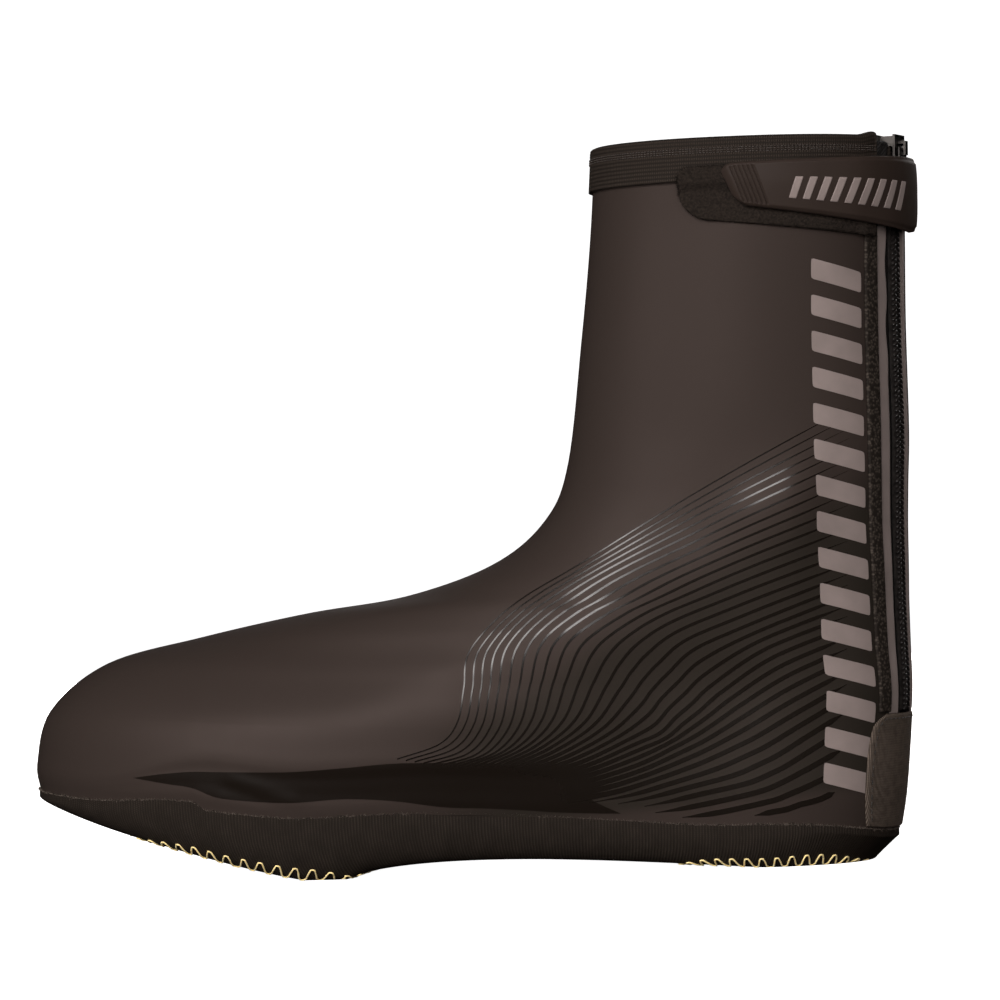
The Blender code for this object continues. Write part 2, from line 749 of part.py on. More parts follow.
half_tall = SLIDER_TALL / 2
half_wide = SLIDER_WIDE / 2
face_out = SLIDER_OUT + SLIDER_PLATE
slider = box_object(
    "zip_slider", (-half_wide, SLIDER_OUT, -half_tall), (half_wide, face_out, half_tall),
    metal, parts, slider_frame,
)
inner_plate = box_object(
    "slider_inner_plate", (-half_wide, SLIDER_IN - SLIDER_PLATE, -half_tall),
    (half_wide, SLIDER_IN, half_tall), None, cutters, slider_frame,
)
core = box_object(
    "slider_core", (-CORE_HALF, SLIDER_IN - SLIDER_PLATE / 2, CORE_LOW),
    (CORE_HALF, SLIDER_OUT + SLIDER_PLATE / 2, half_tall - CORE_TOP_ROOM), None, cutters, slider_frame,
)
crown = box_object(
    "slider_crown", (-CROWN_WIDE / 2, SLIDER_OUT + SLIDER_PLATE / 2, -CROWN_TALL / 2),
    (CROWN_WIDE / 2, face_out + CROWN_ROOM + CROWN_BAR, CROWN_TALL / 2), None, cutters, slider_frame,
)
crown_tunnel = box_object(
    "slider_tunnel", (-half_wide, face_out, -CROWN_TALL / 2 + CROWN_LEG),
    (half_wide, face_out + CROWN_ROOM, CROWN_TALL / 2 - CROWN_LEG), None, cutters, slider_frame,
)
boolean(slider, inner_plate, "UNION")
boolean(slider, core, "UNION")
boolean(slider, crown, "UNION")
boolean(slider, crown_tunnel, "DIFFERENCE")

hinge_out = face_out + CROWN_ROOM / 2
tab_frame = bpy.data.objects.new("pull_tab_hinge", None)
tab_frame.location = (0.0, hinge_out, 0.0)
tab_frame.parent = slider_frame
parts.objects.link(tab_frame)
tab_bar = TAB_THICK / 2
tab = box_object(
    "zip_pull_tab", (-TAB_WIDE / 2, -tab_bar, -TAB_LONG), (TAB_WIDE / 2, tab_bar, tab_bar),
    metal, parts, tab_frame,
)
tab_eye = box_object(
    "pull_tab_eye", (-TAB_EYE_WIDE / 2, -TAB_THICK, -tab_bar - TAB_EYE_TALL),
    (TAB_EYE_WIDE / 2, TAB_THICK, -tab_bar), None, cutters, tab_frame,
)
boolean(tab, tab_eye, "DIFFERENCE")
soften = tab.modifiers.new("soften", "BEVEL")
soften.width = TAB_EDGE
soften.segments = 1
soften.limit_method = "ANGLE"
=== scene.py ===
"""Looks of a left cycling overshoe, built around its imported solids.

Every piece lies on the form that the solids have: closed loops stacked from the feather line,
where the upper meets the sole, up to the collar. A place on the form is a level (the row number in
SECTIONS, with parts between rows) and an angle round the loop, 0 at the middle of the back and
positive round the outer side, or a run, the metres along the loop from the same place.
"""

import math
from collections import namedtuple

import bmesh
import bpy
import numpy as np
from mathutils import Matrix, Vector
from mathutils.bvhtree import BVHTree


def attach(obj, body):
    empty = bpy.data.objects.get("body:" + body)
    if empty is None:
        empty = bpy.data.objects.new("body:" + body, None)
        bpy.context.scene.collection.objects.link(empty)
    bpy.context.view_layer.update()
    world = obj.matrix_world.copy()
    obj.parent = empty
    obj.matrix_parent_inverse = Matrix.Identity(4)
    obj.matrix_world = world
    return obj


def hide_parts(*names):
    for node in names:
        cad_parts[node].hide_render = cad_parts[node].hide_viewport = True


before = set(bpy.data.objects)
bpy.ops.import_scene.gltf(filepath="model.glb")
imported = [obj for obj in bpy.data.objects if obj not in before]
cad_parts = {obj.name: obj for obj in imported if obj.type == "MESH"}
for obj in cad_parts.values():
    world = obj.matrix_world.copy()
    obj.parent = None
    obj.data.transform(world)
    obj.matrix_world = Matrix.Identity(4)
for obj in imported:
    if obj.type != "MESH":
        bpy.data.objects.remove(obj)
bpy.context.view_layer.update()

MM = 0.001
UP = np.array([0.0, 0.0, 1.0])
SIDES = ((1, "lateral"), (-1, "medial"))
random = np.random.default_rng(7)

# Driving sizes of the form, as in the solids
LENGTH = 0.3025
HEIGHT = 0.236
BALL_WIDTH = 0.106
TOE_SWING = 0.008
TOE_SWING_POWER = 1.7
WALL = 0.0016
SOLE_WALL = 0.0018
GAP = 0.0003
OUTER_SHARE = 0.507
END_ROUND = 2.2
OUTER_HOLLOW = 0.35
BALL_AT_LENGTH = 0.32
TO_ORIGIN = np.array([-0.00489, 0.00073, 0.0])

Section = namedtuple(
    "Section", "name front_x front_z back_x back_z ball heel hollow ball_at heel_at bow"
)
SECTIONS = (
    Section("feather", 0.0028, 0.125, 0.979, 0.038, 0.953, 0.660, 0.040, 0.32, 0.84, 1.00),
    Section("toe_tip", 0.0000, 0.167, 0.987, 0.093, 0.986, 0.679, 0.035, 0.33, 0.84, 0.45),
    Section("toe_crown", 0.0190, 0.242, 0.994, 0.174, 0.945, 0.660, 0.020, 0.35, 0.84, 0.15),
    Section("toe_top", 0.0884, 0.306, 0.998, 0.237, 0.800, 0.640, 0.010, 0.42, 0.85, 0.00),
    Section("vamp", 0.2025, 0.340, 0.998, 0.297, 0.710, 0.660, 0.000, 0.50, 0.80, 0.00),
    Section("instep", 0.3281, 0.369, 0.998, 0.356, 0.685, 0.685, 0.000, 0.55, 0.75, 0.00),
    Section("throat", 0.4471, 0.389, 0.999, 0.407, 0.700, 0.700, 0.000, 0.54, 0.68, 0.00),
    Section("bend", 0.5446, 0.429, 1.000, 0.466, 0.700, 0.700, 0.000, 0.52, 0.60, 0.00),
    Section("ankle", 0.6041, 0.487, 1.002, 0.525, 0.700, 0.700, 0.000, 0.51, 0.55, 0.00),
    Section("shin_low", 0.6329, 0.565, 1.005, 0.597, 0.700, 0.700, 0.000, 0.50, 0.50, 0.00),
    Section("shin", 0.6540, 0.739, 1.006, 0.746, 0.715, 0.715, 0.000, 0.50, 0.50, 0.00),
    Section("calf", 0.6683, 0.879, 1.009, 0.881, 0.730, 0.730, 0.000, 0.50, 0.50, 0.00),
    Section("collar", 0.6769, 1.000, 1.011, 0.992, 0.735, 0.735, 0.000, 0.50, 0.50, 0.00),
)
COLLAR = len(SECTIONS) - 1

Station = namedtuple("Station", "name x height")
FEATHER = (
    Station("toe", 0.0028, 0.0295),
    Station("bumper", 0.100, 0.0273),
    Station("ball_front", 0.225, 0.0260),
    Station("ball", 0.350, 0.0212),
    Station("waist", 0.500, 0.0207),
    Station("waist_back", 0.630, 0.0181),
    Station("heel_front", 0.780, 0.0142),
    Station("heel", 0.930, 0.0120),
    Station("back", 0.979, 0.0090),
)
# The step in the rand's border beside the ball, where the toe piece ends
JOG_BEGINS = (0.10, 0.20)
JOG = (0.229, 0.2495)
JOG_ENDS = (0.2495, 0.4495)
JOG_RISE = 0.8 * MM
JOG_FALL = 1.7 * MM

TREAD = Section("tread", 0.0400, 0, 0.954, 0, 0.790, 0.535, 0.050, 0.31, 0.86, 0)
TOE_SPRING = 0.025
TOE_SPRING_POWER = 1.12
ARCH_RISE = 0.0049
ARCH_POWER = 0.6
TREAD_TURN = 2.0
TREAD_TURN_HEEL = 1.0
TREAD_TURN_TOE = 1.5
TOE_TURN = (0.0, 0.14)
HEEL_TURN = (0.80, 0.93)
FLAT_FRONT = (0.351, 0.400)
FLAT_HEEL = 0.847
Cutout = namedtuple("Cutout", "name middle half_length half_width")
CUTOUTS = (
    Cutout("cleat", 0.270, 0.127, 0.355),
    Cutout("heel", 0.844, 0.079, 0.210),
)
CUTOUT_ROUND = 2.6

# The zip's line and the slit that it closes
ZIP_RUN_HEEL = 0.0050
ZIP_RUN_COLLAR = 0.0095
SLIT_LOW = 2.0
SLIT_HALF = 0.0122
ZIP_LOW = 2.47
TAPE_LOW = 2.10
TAPE_THICK = 0.0008
TAPE_LIFT = -WALL - 2 * GAP - TAPE_THICK
BAND_LOW = 0.2225
BAND_THICK = 0.0012

# Small steps that give a direction on the form
NEAR_LEVEL = 0.01
NEAR_ANGLE = 0.02


# The form
def between(share, first, last):
    return first + (last - first) * share


def smooth(share):
    share = np.clip(share, 0.0, 1.0)
    return share * share * (3 - 2 * share)


def eased(value, first, last):
    """0 up to the first value, 1 from the last one on, and a soft change between."""
    return smooth((value - first) / (last - first))


def bell(away, half):
    return np.exp(-((away / half) ** 2))


def power_of(value, power):
    """A power that keeps the sign."""
    return np.sign(value) * np.abs(value) ** power


def unit(vectors):
    return vectors / np.maximum(np.linalg.norm(vectors, axis=-1, keepdims=True), 1e-12)


def way_along(path):
    """The metres from a path's first point to each of its points."""
    return np.concatenate([[0.0], np.cumsum(np.linalg.norm(np.diff(path, axis=0), axis=1))])


def through(place, places, values):
    """A smooth line through values that are given at places."""
    slopes = np.gradient(values, places)
    index = np.clip(np.searchsorted(places, place) - 1, 0, len(places) - 2)
    width = places[index + 1] - places[index]
    share = (place - places[index]) / width
    rest = 1 - share
    start = (1 + 2 * share) * rest**2 * values[index] + share * rest**2 * width * slopes[index]
    end = share**2 * (3 - 2 * share) * values[index + 1]
    return start + end - share**2 * rest * width * slopes[index + 1]


def along(x):
    """An x of the form as a share of its length from the toe."""
    return x / LENGTH + 0.5


def feather_line(x):
    _, places, heights = zip(*FEATHER)
    return through(np.clip(along(x), places[0], places[-1]), np.array(places), np.array(heights))


def feather_height(x):
    """The feather line with the step in the rand's border."""
    place = along(x)
    past = eased(place, *JOG)
    rise = JOG_RISE * eased(place, *JOG_BEGINS) * (1 - past)
    fall = JOG_FALL * past * (1 - eased(place, *JOG_ENDS))
    return feather_line(x) + rise - fall


def tread_height(x):
    place = along(x)
    ahead = np.clip((FLAT_FRONT[0] - place) / (FLAT_FRONT[0] - TREAD.front_x), 0, None)
    arch = np.clip((place - FLAT_FRONT[1]) / (FLAT_HEEL - FLAT_FRONT[1]), 0, 1)
    return TOE_SPRING * ahead**TOE_SPRING_POWER + ARCH_RISE * np.sin(math.pi * arch**ARCH_POWER)


def middle_line(x):
    ahead = np.clip((BALL_AT_LENGTH - along(x)) / BALL_AT_LENGTH, 0, None)
    return TOE_SWING * ahead**TOE_SWING_POWER


def section_at(level):
    columns = np.array([row[1:] for row in SECTIONS])
    rows = np.arange(len(SECTIONS), dtype=float)
    return Section("between", *(through(level, rows, column) for column in columns.T))


def half_width(section, share, inner):
    side = np.where(inner, 2 * (1 - OUTER_SHARE), 2 * OUTER_SHARE)
    ball = section.ball * BALL_WIDTH / 2 * side
    heel = section.heel * BALL_WIDTH / 2 * side
    hollow = section.hollow * BALL_WIDTH * np.where(inner, 1.0, OUTER_HOLLOW)
    ball_at = section.ball_at
    heel_at = np.maximum(section.heel_at, ball_at + 1e-4)
    waist = np.clip((share - ball_at) / (heel_at - ball_at), 0, 1)
    width = between(smooth(waist), ball, heel) - hollow * np.sin(math.pi * waist) ** 2
    front = np.clip((ball_at - share) / ball_at, 0, 1)
    back = np.clip((share - heel_at) / (1 - heel_at), 0, 1)
    return width * (1 - np.maximum(front, back) ** END_ROUND) ** (1 / END_ROUND)


def outline(section, angle):
    share = (1 + np.cos(angle)) / 2
    x = (between(share, section.front_x, section.back_x) - 0.5) * LENGTH
    inner = np.sin(angle) < 0
    half = half_width(section, share, inner)
    return share, x, middle_line(x) + np.where(inner, half, -half)


def form(level, angle):
    level, angle = np.broadcast_arrays(np.asarray(level, float), np.asarray(angle, float))
    section = section_at(level)
    share, x, y = outline(section, angle)
    first = SECTIONS[0]
    chord = (along(x) - first.front_x) / (first.back_x - first.front_x)
    straight = between(chord, first.front_z, first.back_z) * HEIGHT
    z = between(share, section.front_z, section.back_z) * HEIGHT
    z = z + section.bow * (feather_height(x) - straight)
    return np.stack([x, y, z], axis=-1)


def normal_at(level, angle):
    above = form(np.minimum(level + NEAR_LEVEL, COLLAR), angle)
    below = form(np.maximum(level - NEAR_LEVEL, 0.0), angle)
    round_it = form(level, angle + NEAR_ANGLE) - form(level, angle - NEAR_ANGLE)
    return unit(np.cross(above - below, round_it))


def lifted(level, angle, lift):
    lift = np.asarray(lift, float)[..., None]
    return form(level, angle) + normal_at(level, angle) * lift


# Tables that turn a run into an angle and a height into a level
LEVELS = np.linspace(0, COLLAR, 241)
RUNS = np.linspace(-0.1, 0.1, 401)
TURNS = np.linspace(-math.pi, math.pi, 1441)


def run_tables():
    loops = form(LEVELS[:, None], TURNS[None, :])
    runs = np.array([way_along(loop) for loop in loops])
    runs = runs - runs[:, [len(TURNS) // 2]]
    angles = np.array([np.interp(RUNS, row, TURNS) for row in runs])
    heights = np.array([np.interp(row, TURNS, loop[:, 2]) for row, loop in zip(angles, loops)])
    return angles, heights


ANGLE_TABLE, HEIGHT_TABLE = run_tables()


def lookup(table, level, run):
    row = np.clip(np.asarray(level) / COLLAR * (len(LEVELS) - 1), 0, len(LEVELS) - 1.001)
    column = np.clip((np.asarray(run) - RUNS[0]) / (RUNS[1] - RUNS[0]), 0, len(RUNS) - 1.001)
    row, column = np.broadcast_arrays(row, column)
    low, left = row.astype(int), column.astype(int)
    over = column - left
    near = between(over, table[low, left], table[low, left + 1])
    far = between(over, table[low + 1, left], table[low + 1, left + 1])
    return between(row - low, near, far)


def angle_at(level, run):
    return lookup(ANGLE_TABLE, level, run)


def halving(height, height_of):
    """The levels at which height_of(level) reaches height."""
    low = np.zeros(np.shape(height))
    high = np.full(np.shape(height), float(COLLAR))
    for _ in range(28):
        level = (low + high) / 2
        below = height_of(level) < height
        low = np.where(below, level, low)
        high = np.where(below, high, level)
    return (low + high) / 2


def level_at(height, run):
    height, run = np.broadcast_arrays(np.asarray(height, float), np.asarray(run, float))
    return halving(height, lambda level: lookup(HEIGHT_TABLE, level, run))


def angle_of_x(level, x):
    """The angle on the outer side where a loop passes an x."""
    section = section_at(level)
    share = (along(x) - section.front_x) / (section.back_x - section.front_x)
    return np.arccos(np.clip(2 * share - 1, -1, 1))


def zip_run(level):
    share = np.maximum((level - SLIT_LOW) / (COLLAR - SLIT_LOW), 0.0)
    return between(share, ZIP_RUN_HEEL, ZIP_RUN_COLLAR)


# Pieces
WELD = 1e-6
NO_LENGTH = 1e-7


def piece(name, points, faces, coats, uv=None, weld=False):
    """An object from points, faces and a place in metres on the cloth for each point."""
    mesh = bpy.data.meshes.new(name)
    mesh.from_pydata((np.asarray(points) + TO_ORIGIN).tolist(), [], faces)
    if uv is not None:
        corners = np.zeros(len(mesh.loops), dtype=np.int32)
        mesh.loops.foreach_get("vertex_index", corners)
        layer = mesh.uv_layers.new(name="cloth")
        layer.data.foreach_set("uv", np.asarray(uv, np.float32)[corners].ravel())
    if weld:
        edit = bmesh.new()
        edit.from_mesh(mesh)
        bmesh.ops.remove_doubles(edit, verts=edit.verts, dist=WELD)
        bmesh.ops.dissolve_degenerate(edit, edges=edit.edges, dist=NO_LENGTH)
        edit.to_mesh(mesh)
        edit.free()
    mesh.polygons.foreach_set("use_smooth", [True] * len(mesh.polygons))
    for coat in coats:
        mesh.materials.append(coat.made)
    made = bpy.data.objects.new(name, mesh)
    bpy.context.scene.collection.objects.link(made)
    return made


def dress(made, slot, *nodes, body="overshoe"):
    """Sets a piece on its body and hides the solids that it stands for; the slot is not used."""
    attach(made, body)
    if nodes:
        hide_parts(*nodes)
    return made


def grid_faces(rows, columns, first=0, around=False, up=False):
    """Quads over rows of points; around closes each row, up closes the last row on the first."""
    faces = []
    for row in range(rows if up else rows - 1):
        low = first + row * columns
        high = first + (row + 1) % rows * columns
        for column in range(columns if around else columns - 1):
            after = (column + 1) % columns
            faces.append((low + column, high + column, high + after, low + after))
    return faces


def joined(parts):
    """Points and faces of many small parts as one mesh."""
    points = []
    faces = []
    first = 0
    for part_points, part_faces in parts:
        points.append(part_points)
        faces += [tuple(corner + first for corner in face) for face in part_faces]
        first += len(part_points)
    return np.concatenate(points), faces


def small_parts(name, coat, parts, slot, *nodes, weld=False):
    """A piece that is made of many small parts."""
    dress(piece(name, *joined(parts), [coat], weld=weld), slot, *nodes)


def thicken(made, thickness):
    """A modifier that makes a sheet solid inwards, with its second coat as a lining."""
    wall = made.modifiers.new("wall", "SOLIDIFY")
    wall.thickness = thickness
    wall.offset = -1.0
    wall.material_offset = 1


def apply_modifiers(made):
    graph = bpy.context.evaluated_depsgraph_get()
    mesh = bpy.data.meshes.new_from_object(made.evaluated_get(graph), depsgraph=graph)
    made.modifiers.clear()
    made.data = mesh
    mesh.polygons.foreach_set("use_smooth", [True] * len(mesh.polygons))


def steps(count):
    """Steps from -1 to 1 that lie closer together near both ends."""
    even = np.linspace(-1, 1, count)
    return even * (1.5 - 0.5 * even * even)


def shares(count):
    """The same steps from 0 to 1."""
    return (steps(count) + 1) / 2


def round_border(count, edge):
    """The rise of a border over steps(count): 0 at both ends and 1 from edge inwards."""
    inside = np.minimum(1 - np.abs(steps(count)), edge) / edge
    return np.sqrt(1 - (1 - inside) ** 2)


def pad(level, run, lift, thickness, edge, relief=0.0):
    """A closed pad over rows of places set by steps(): flat below, thick above with round borders.

    edge has the width of the rounding as a share of the half across the rows and along them.
    """
    rows, columns = level.shape
    angle = angle_at(level, run)
    lift = np.broadcast_to(lift, level.shape)
    low = lifted(level, angle, lift)
    rim = round_border(rows, edge[0])[:, None] * round_border(columns, edge[1])
    high = lifted(level, angle, lift + rim * (thickness + relief))
    points = np.concatenate([low.reshape(-1, 3), high.reshape(-1, 3)])
    under = [face[::-1] for face in grid_faces(rows, columns)]
    faces = under + grid_faces(rows, columns, rows * columns)
    spread = np.stack([run.ravel(), low[..., 2].ravel()], axis=1)
    return points, faces, np.concatenate([spread, spread])


def pad_piece(name, coat, shape, slot, *nodes):
    """A piece that is one pad; shape has what pad() takes."""
    points, faces, spread = pad(*shape)
    dress(piece(name, points, faces, [coat], spread, weld=True), slot, *nodes)


def tube(path, radius, sides, closed=False):
    """Points and faces of a round thread along a path."""
    ahead = np.roll(path, -1, axis=0) - np.roll(path, 1, axis=0)
    if not closed:
        ahead[0] = path[1] - path[0]
        ahead[-1] = path[-1] - path[-2]
    ahead = unit(ahead)
    helper = np.where(np.abs(ahead[:, [2]]) > 0.9, [[1.0, 0, 0]], [[0, 0, 1.0]])
    left = unit(np.cross(ahead, helper))
    up = np.cross(left, ahead)
    turn = np.linspace(0, 2 * math.pi, sides, endpoint=False)[None, :, None]
    ring = left[:, None, :] * np.cos(turn) + up[:, None, :] * np.sin(turn)
    points = path[:, None, :] + ring * radius
    faces = grid_faces(len(path), sides, around=True, up=closed)
    if not closed:
        faces.append(tuple(range(sides)))
        last = (len(path) - 1) * sides
        faces.append(tuple(range(last + sides - 1, last - 1, -1)))
    return points.reshape(-1, 3), faces


# Materials
WAVE_PERIOD = math.pi / 10


class Coat:
    """A material and the nodes that make its look."""

    def __init__(self, name, colour, roughness, shine=0.5, **sockets):
        self.made = bpy.data.materials.new(name)
        self.made.use_nodes = True
        self.made.diffuse_color = (*colour, 1.0)
        self.tree = self.made.node_tree
        self.shader = self.tree.nodes["Principled BSDF"]
        self.fill(self.shader, {"Base Color": (*colour, 1.0), "Roughness": roughness})
        self.fill(self.shader, {"Specular IOR Level": shine})
        self.fill(self.shader, {key.replace("_", " "): value for key, value in sockets.items()})

    def fill(self, made, inputs):
        """Sets sockets of a node, each to a value or to the output of another node."""
        for socket, value in inputs.items():
            if isinstance(value, bpy.types.NodeSocket):
                self.tree.links.new(value, made.inputs[socket])
            else:
                made.inputs[socket].default_value = value

    def node(self, kind, inputs, output=0, **settings):
        made = self.tree.nodes.new("ShaderNode" + kind)
        for name, value in settings.items():
            setattr(made, name, value)
        self.fill(made, inputs)
        return made.outputs[output]

    def place(self, kind):
        """Object, the place on the part, or UV, the place on the cloth, both in metres."""
        return self.node("TexCoord", {}, kind)

    def noise(self, size, detail=3.0):
        inputs = {"Vector": self.place("Object"), "Scale": 1 / size, "Detail": detail}
        return self.node("TexNoise", inputs, "Fac")

    def cells(self, size):
        inputs = {"Vector": self.place("UV"), "Scale": 1 / size}
        return self.node("TexVoronoi", inputs, "Distance")

    def stripes(self, period, axis, distortion, place="UV"):
        """Soft stripes with a period in metres."""
        inputs = {"Vector": self.place(place), "Scale": WAVE_PERIOD / period, "Detail": 1.0}
        inputs["Distortion"] = distortion
        return self.node("TexWave", inputs, "Fac", bands_direction=axis)

    def mixed(self, share, first, last):
        """A value between two sockets or numbers."""
        return self.node("Mix", {0: share, 2: first, 3: last}, data_type="FLOAT")

    def worked_out(self, operation, first, last):
        return self.node("Math", {0: first, 1: last}, operation=operation)

    def ramp_down(self, at, way, fade):
        """1 before a line across the cloth and 0 past it, with a soft change between."""
        inputs = {0: self.place("Object"), 1: way}
        past = self.node("VectorMath", inputs, "Value", operation="DOT_PRODUCT")
        line = np.dot(at + TO_ORIGIN, way)
        inputs = {"Value": past, "From Min": line + fade[0], "From Max": line + fade[1]}
        inputs.update({"To Min": 1.0, "To Max": 0.0})
        return self.node("MapRange", inputs, "Result", interpolation_type="SMOOTHSTEP")

    def coloured(self, share, dark, pale, low=0.3, high=0.7):
        """Colour between dark and pale by a pattern."""
        colour = self.node("ValToRGB", {"Fac": share}, "Color")
        ends = colour.node.color_ramp.elements
        ends[0].position = low
        ends[0].color = (*dark, 1.0)
        ends[1].position = high
        ends[1].color = (*pale, 1.0)
        self.fill(self.shader, {"Base Color": colour})

    def roughened(self, share, low, high):
        self.fill(self.shader, {"Roughness": self.mixed(share, low, high)})

    def bumped(self, height, distance, strength=1.0):
        inputs = {"Height": height, "Distance": distance, "Strength": strength}
        self.fill(self.shader, {"Normal": self.node("Bump", inputs, "Normal")})

    def patterned(self, pattern, colours=(), rough=(), bump=()):
        """One pattern for what is given of the colours, the roughness and the bumps."""
        if colours:
            self.coloured(pattern, *colours)
        if rough:
            self.roughened(pattern, *rough)
        if bump:
            self.bumped(pattern, *bump)
        return self


# The cloth over the heel is coloured darker: below a slanting line, behind an upright one and
# above a low one by the sole
Fade = namedtuple("Fade", "at way fade")
SHADES = (
    Fade(np.array([0.0006, 0, 0.0449]), np.array([0.495, 0, -0.869]), (-0.006, 0.010)),
    Fade(np.zeros(3), np.array([1.0, 0, 0]), (-0.008, 0.026)),
    Fade(np.array([0.060, 0, 0.0192]), np.array([-0.07, 0, 1.0]), (-0.0022, 0.0030)),
)


def coated_fabric():
    coat = Coat(
        "coated_fabric", (0.0290, 0.0217, 0.0187), 0.50, 0.20, Specular_Tint=(1.0, 0.82, 0.77, 1.0)
    )
    above, ahead, low = [coat.ramp_down(*shade) for shade in SHADES]
    plain = coat.worked_out("MAXIMUM", coat.worked_out("MAXIMUM", above, ahead), low)
    cloud = coat.mixed(coat.noise(40 * MM), 0.88, 1.0)
    share = coat.worked_out("MULTIPLY", plain, cloud)
    coat.coloured(share, (0.0185, 0.0152, 0.0123), (0.0306, 0.0229, 0.0198), 0.0, 1.0)
    coat.roughened(coat.noise(6 * MM), 0.46, 0.54)
    coat.bumped(coat.noise(0.45 * MM, 2.0), 0.02 * MM, 0.6)
    return coat


def cloth(name, colour, roughness, across, lengthwise, cut, worn, colours, raised):
    """A weave or a knit of two crossing stripes, worn by a noise.

    cut is how deep the second stripes cut into the first ones.
    """
    coat = Coat(name, colour, roughness, 0.2)
    picks = coat.mixed(cut, 1.0, coat.stripes(*lengthwise))
    weave = coat.worked_out("MULTIPLY", coat.stripes(*across), picks)
    coat.bumped(weave, raised)
    if worn:
        weave = coat.worked_out("MULTIPLY", weave, coat.noise(*worn))
    coat.coloured(weave, *colours)
    return coat


def thread(name, dark, pale):
    coat = Coat(name, pale, 0.6, Sheen_Weight=0.2)
    twist = coat.stripes(0.35 * MM, "DIAGONAL", 0.5, "Object")
    return coat.patterned(twist, (dark, pale, 0.1, 0.7), bump=(0.06 * MM,))


COATED = coated_fabric()
LINING = Coat("fleece_lining", (0.010, 0.009, 0.009), 0.95, Sheen_Weight=0.3)
LINING.patterned(
    LINING.noise(0.9 * MM, 4.0), ((0.006, 0.0055, 0.0055), (0.018, 0.016, 0.016)), bump=(0.5 * MM,)
)
GLOSS = Coat("gloss_print", (0.0078, 0.0058, 0.0044), 0.24, 0.60)
GLOSS.patterned(GLOSS.noise(3 * MM, 2.0), rough=(0.20, 0.28), bump=(0.02 * MM, 0.3))
BLACK_PRINT = Coat("black_print", (0.0068, 0.0047, 0.0034), 0.5, 0.10)
BLACK_PRINT.patterned(BLACK_PRINT.noise(3 * MM, 2.0), rough=(0.44, 0.54))
REFLECTIVE = Coat("reflective_print", (0.21, 0.172, 0.160), 0.5, 0.3)
REFLECTIVE.coloured(REFLECTIVE.noise(9 * MM), (0.195, 0.160, 0.149), (0.230, 0.188, 0.176))
REFLECTIVE.patterned(REFLECTIVE.noise(0.25 * MM, 2.0), rough=(0.36, 0.54), bump=(0.02 * MM, 0.5))
WOVEN = cloth(
    "woven_base", (0.015, 0.0125, 0.0105), 0.85,
    (1.05 * MM, "X", 0.8), (0.7 * MM, "Y", 0.6), 0.45, (5 * MM, 4.0),
    ((0.0110, 0.0082, 0.0062), (0.026, 0.0198, 0.0155), 0.08, 0.6), 0.16 * MM,
)
RIBBED = cloth(
    "ribbed_elastic", (0.012, 0.010, 0.009), 0.8,
    (0.75 * MM, "X", 0.5), (1.3 * MM, "Y", 0.3), 1.0, None,
    ((0.0105, 0.0078, 0.0060), (0.032, 0.0240, 0.0190), 0.05, 0.7), 0.16 * MM,
)
STRETCH = cloth(
    "stretch_weave", (0.026, 0.021, 0.018), 0.78,
    (0.55 * MM, "X", 0.5), (0.8 * MM, "Y", 0.4), 0.25, (2.2 * MM, 3.0),
    ((0.033, 0.0250, 0.0198), (0.118, 0.0920, 0.0735), 0.05, 0.5), 0.14 * MM,
)
RUBBER = Coat("moulded_rubber", (0.0265, 0.0184, 0.0150), 0.55, 0.22)
RUBBER.roughened(RUBBER.noise(4 * MM), 0.46, 0.6)
RUBBER.bumped(RUBBER.noise(0.3 * MM, 2.0), 0.015 * MM, 0.6)
PILE = Coat("loop_pile", (0.010, 0.008, 0.0065), 0.95, 0.15)
PILE.patterned(
    PILE.noise(0.7 * MM), ((0.0080, 0.0061, 0.0050), (0.0225, 0.0170, 0.0136)), bump=(0.5 * MM,)
)
BINDING = Coat("edge_binding", (0.014, 0.012, 0.011), 0.8, 0.2)
BINDING.patterned(
    BINDING.cells(0.9 * MM), ((0.056, 0.0450, 0.0370), (0.0125, 0.0096, 0.0077), 0.1, 0.6),
    bump=(-0.2 * MM,),
)
ZIP_CLOTH = Coat("zip_cloth", (0.010, 0.009, 0.0085), 0.8)
ZIP_CLOTH.patterned(
    ZIP_CLOTH.stripes(0.6 * MM, "DIAGONAL", 0.4), ((0.006, 0.0053, 0.005), (0.016, 0.0143, 0.0133)),
    bump=(0.1 * MM,),
)
COIL = Coat("coil_plastic", (0.012, 0.0105, 0.0098), 0.32, Coat_Weight=0.3)
COIL.patterned(
    COIL.noise(1.5 * MM), ((0.008, 0.007, 0.0066), (0.024, 0.0205, 0.019)), rough=(0.24, 0.42)
)
METAL = Coat("slider_metal", (0.150, 0.140, 0.132), 0.34, Metallic=1.0)
METAL.patterned(METAL.noise(0.6 * MM, 4.0), rough=(0.28, 0.46), bump=(0.02 * MM, 0.5))
YELLOW = thread("yellow_thread", (0.95, 0.65, 0.22), (1.0, 0.88, 0.46))
BROWN = thread("brown_thread", (0.022, 0.0145, 0.011), (0.050, 0.034, 0.026))
BLACK = thread("black_thread", (0.006, 0.005, 0.005), (0.022, 0.018, 0.016))
FIBRE = Coat("loose_fibre", (0.125, 0.102, 0.084), 0.8)

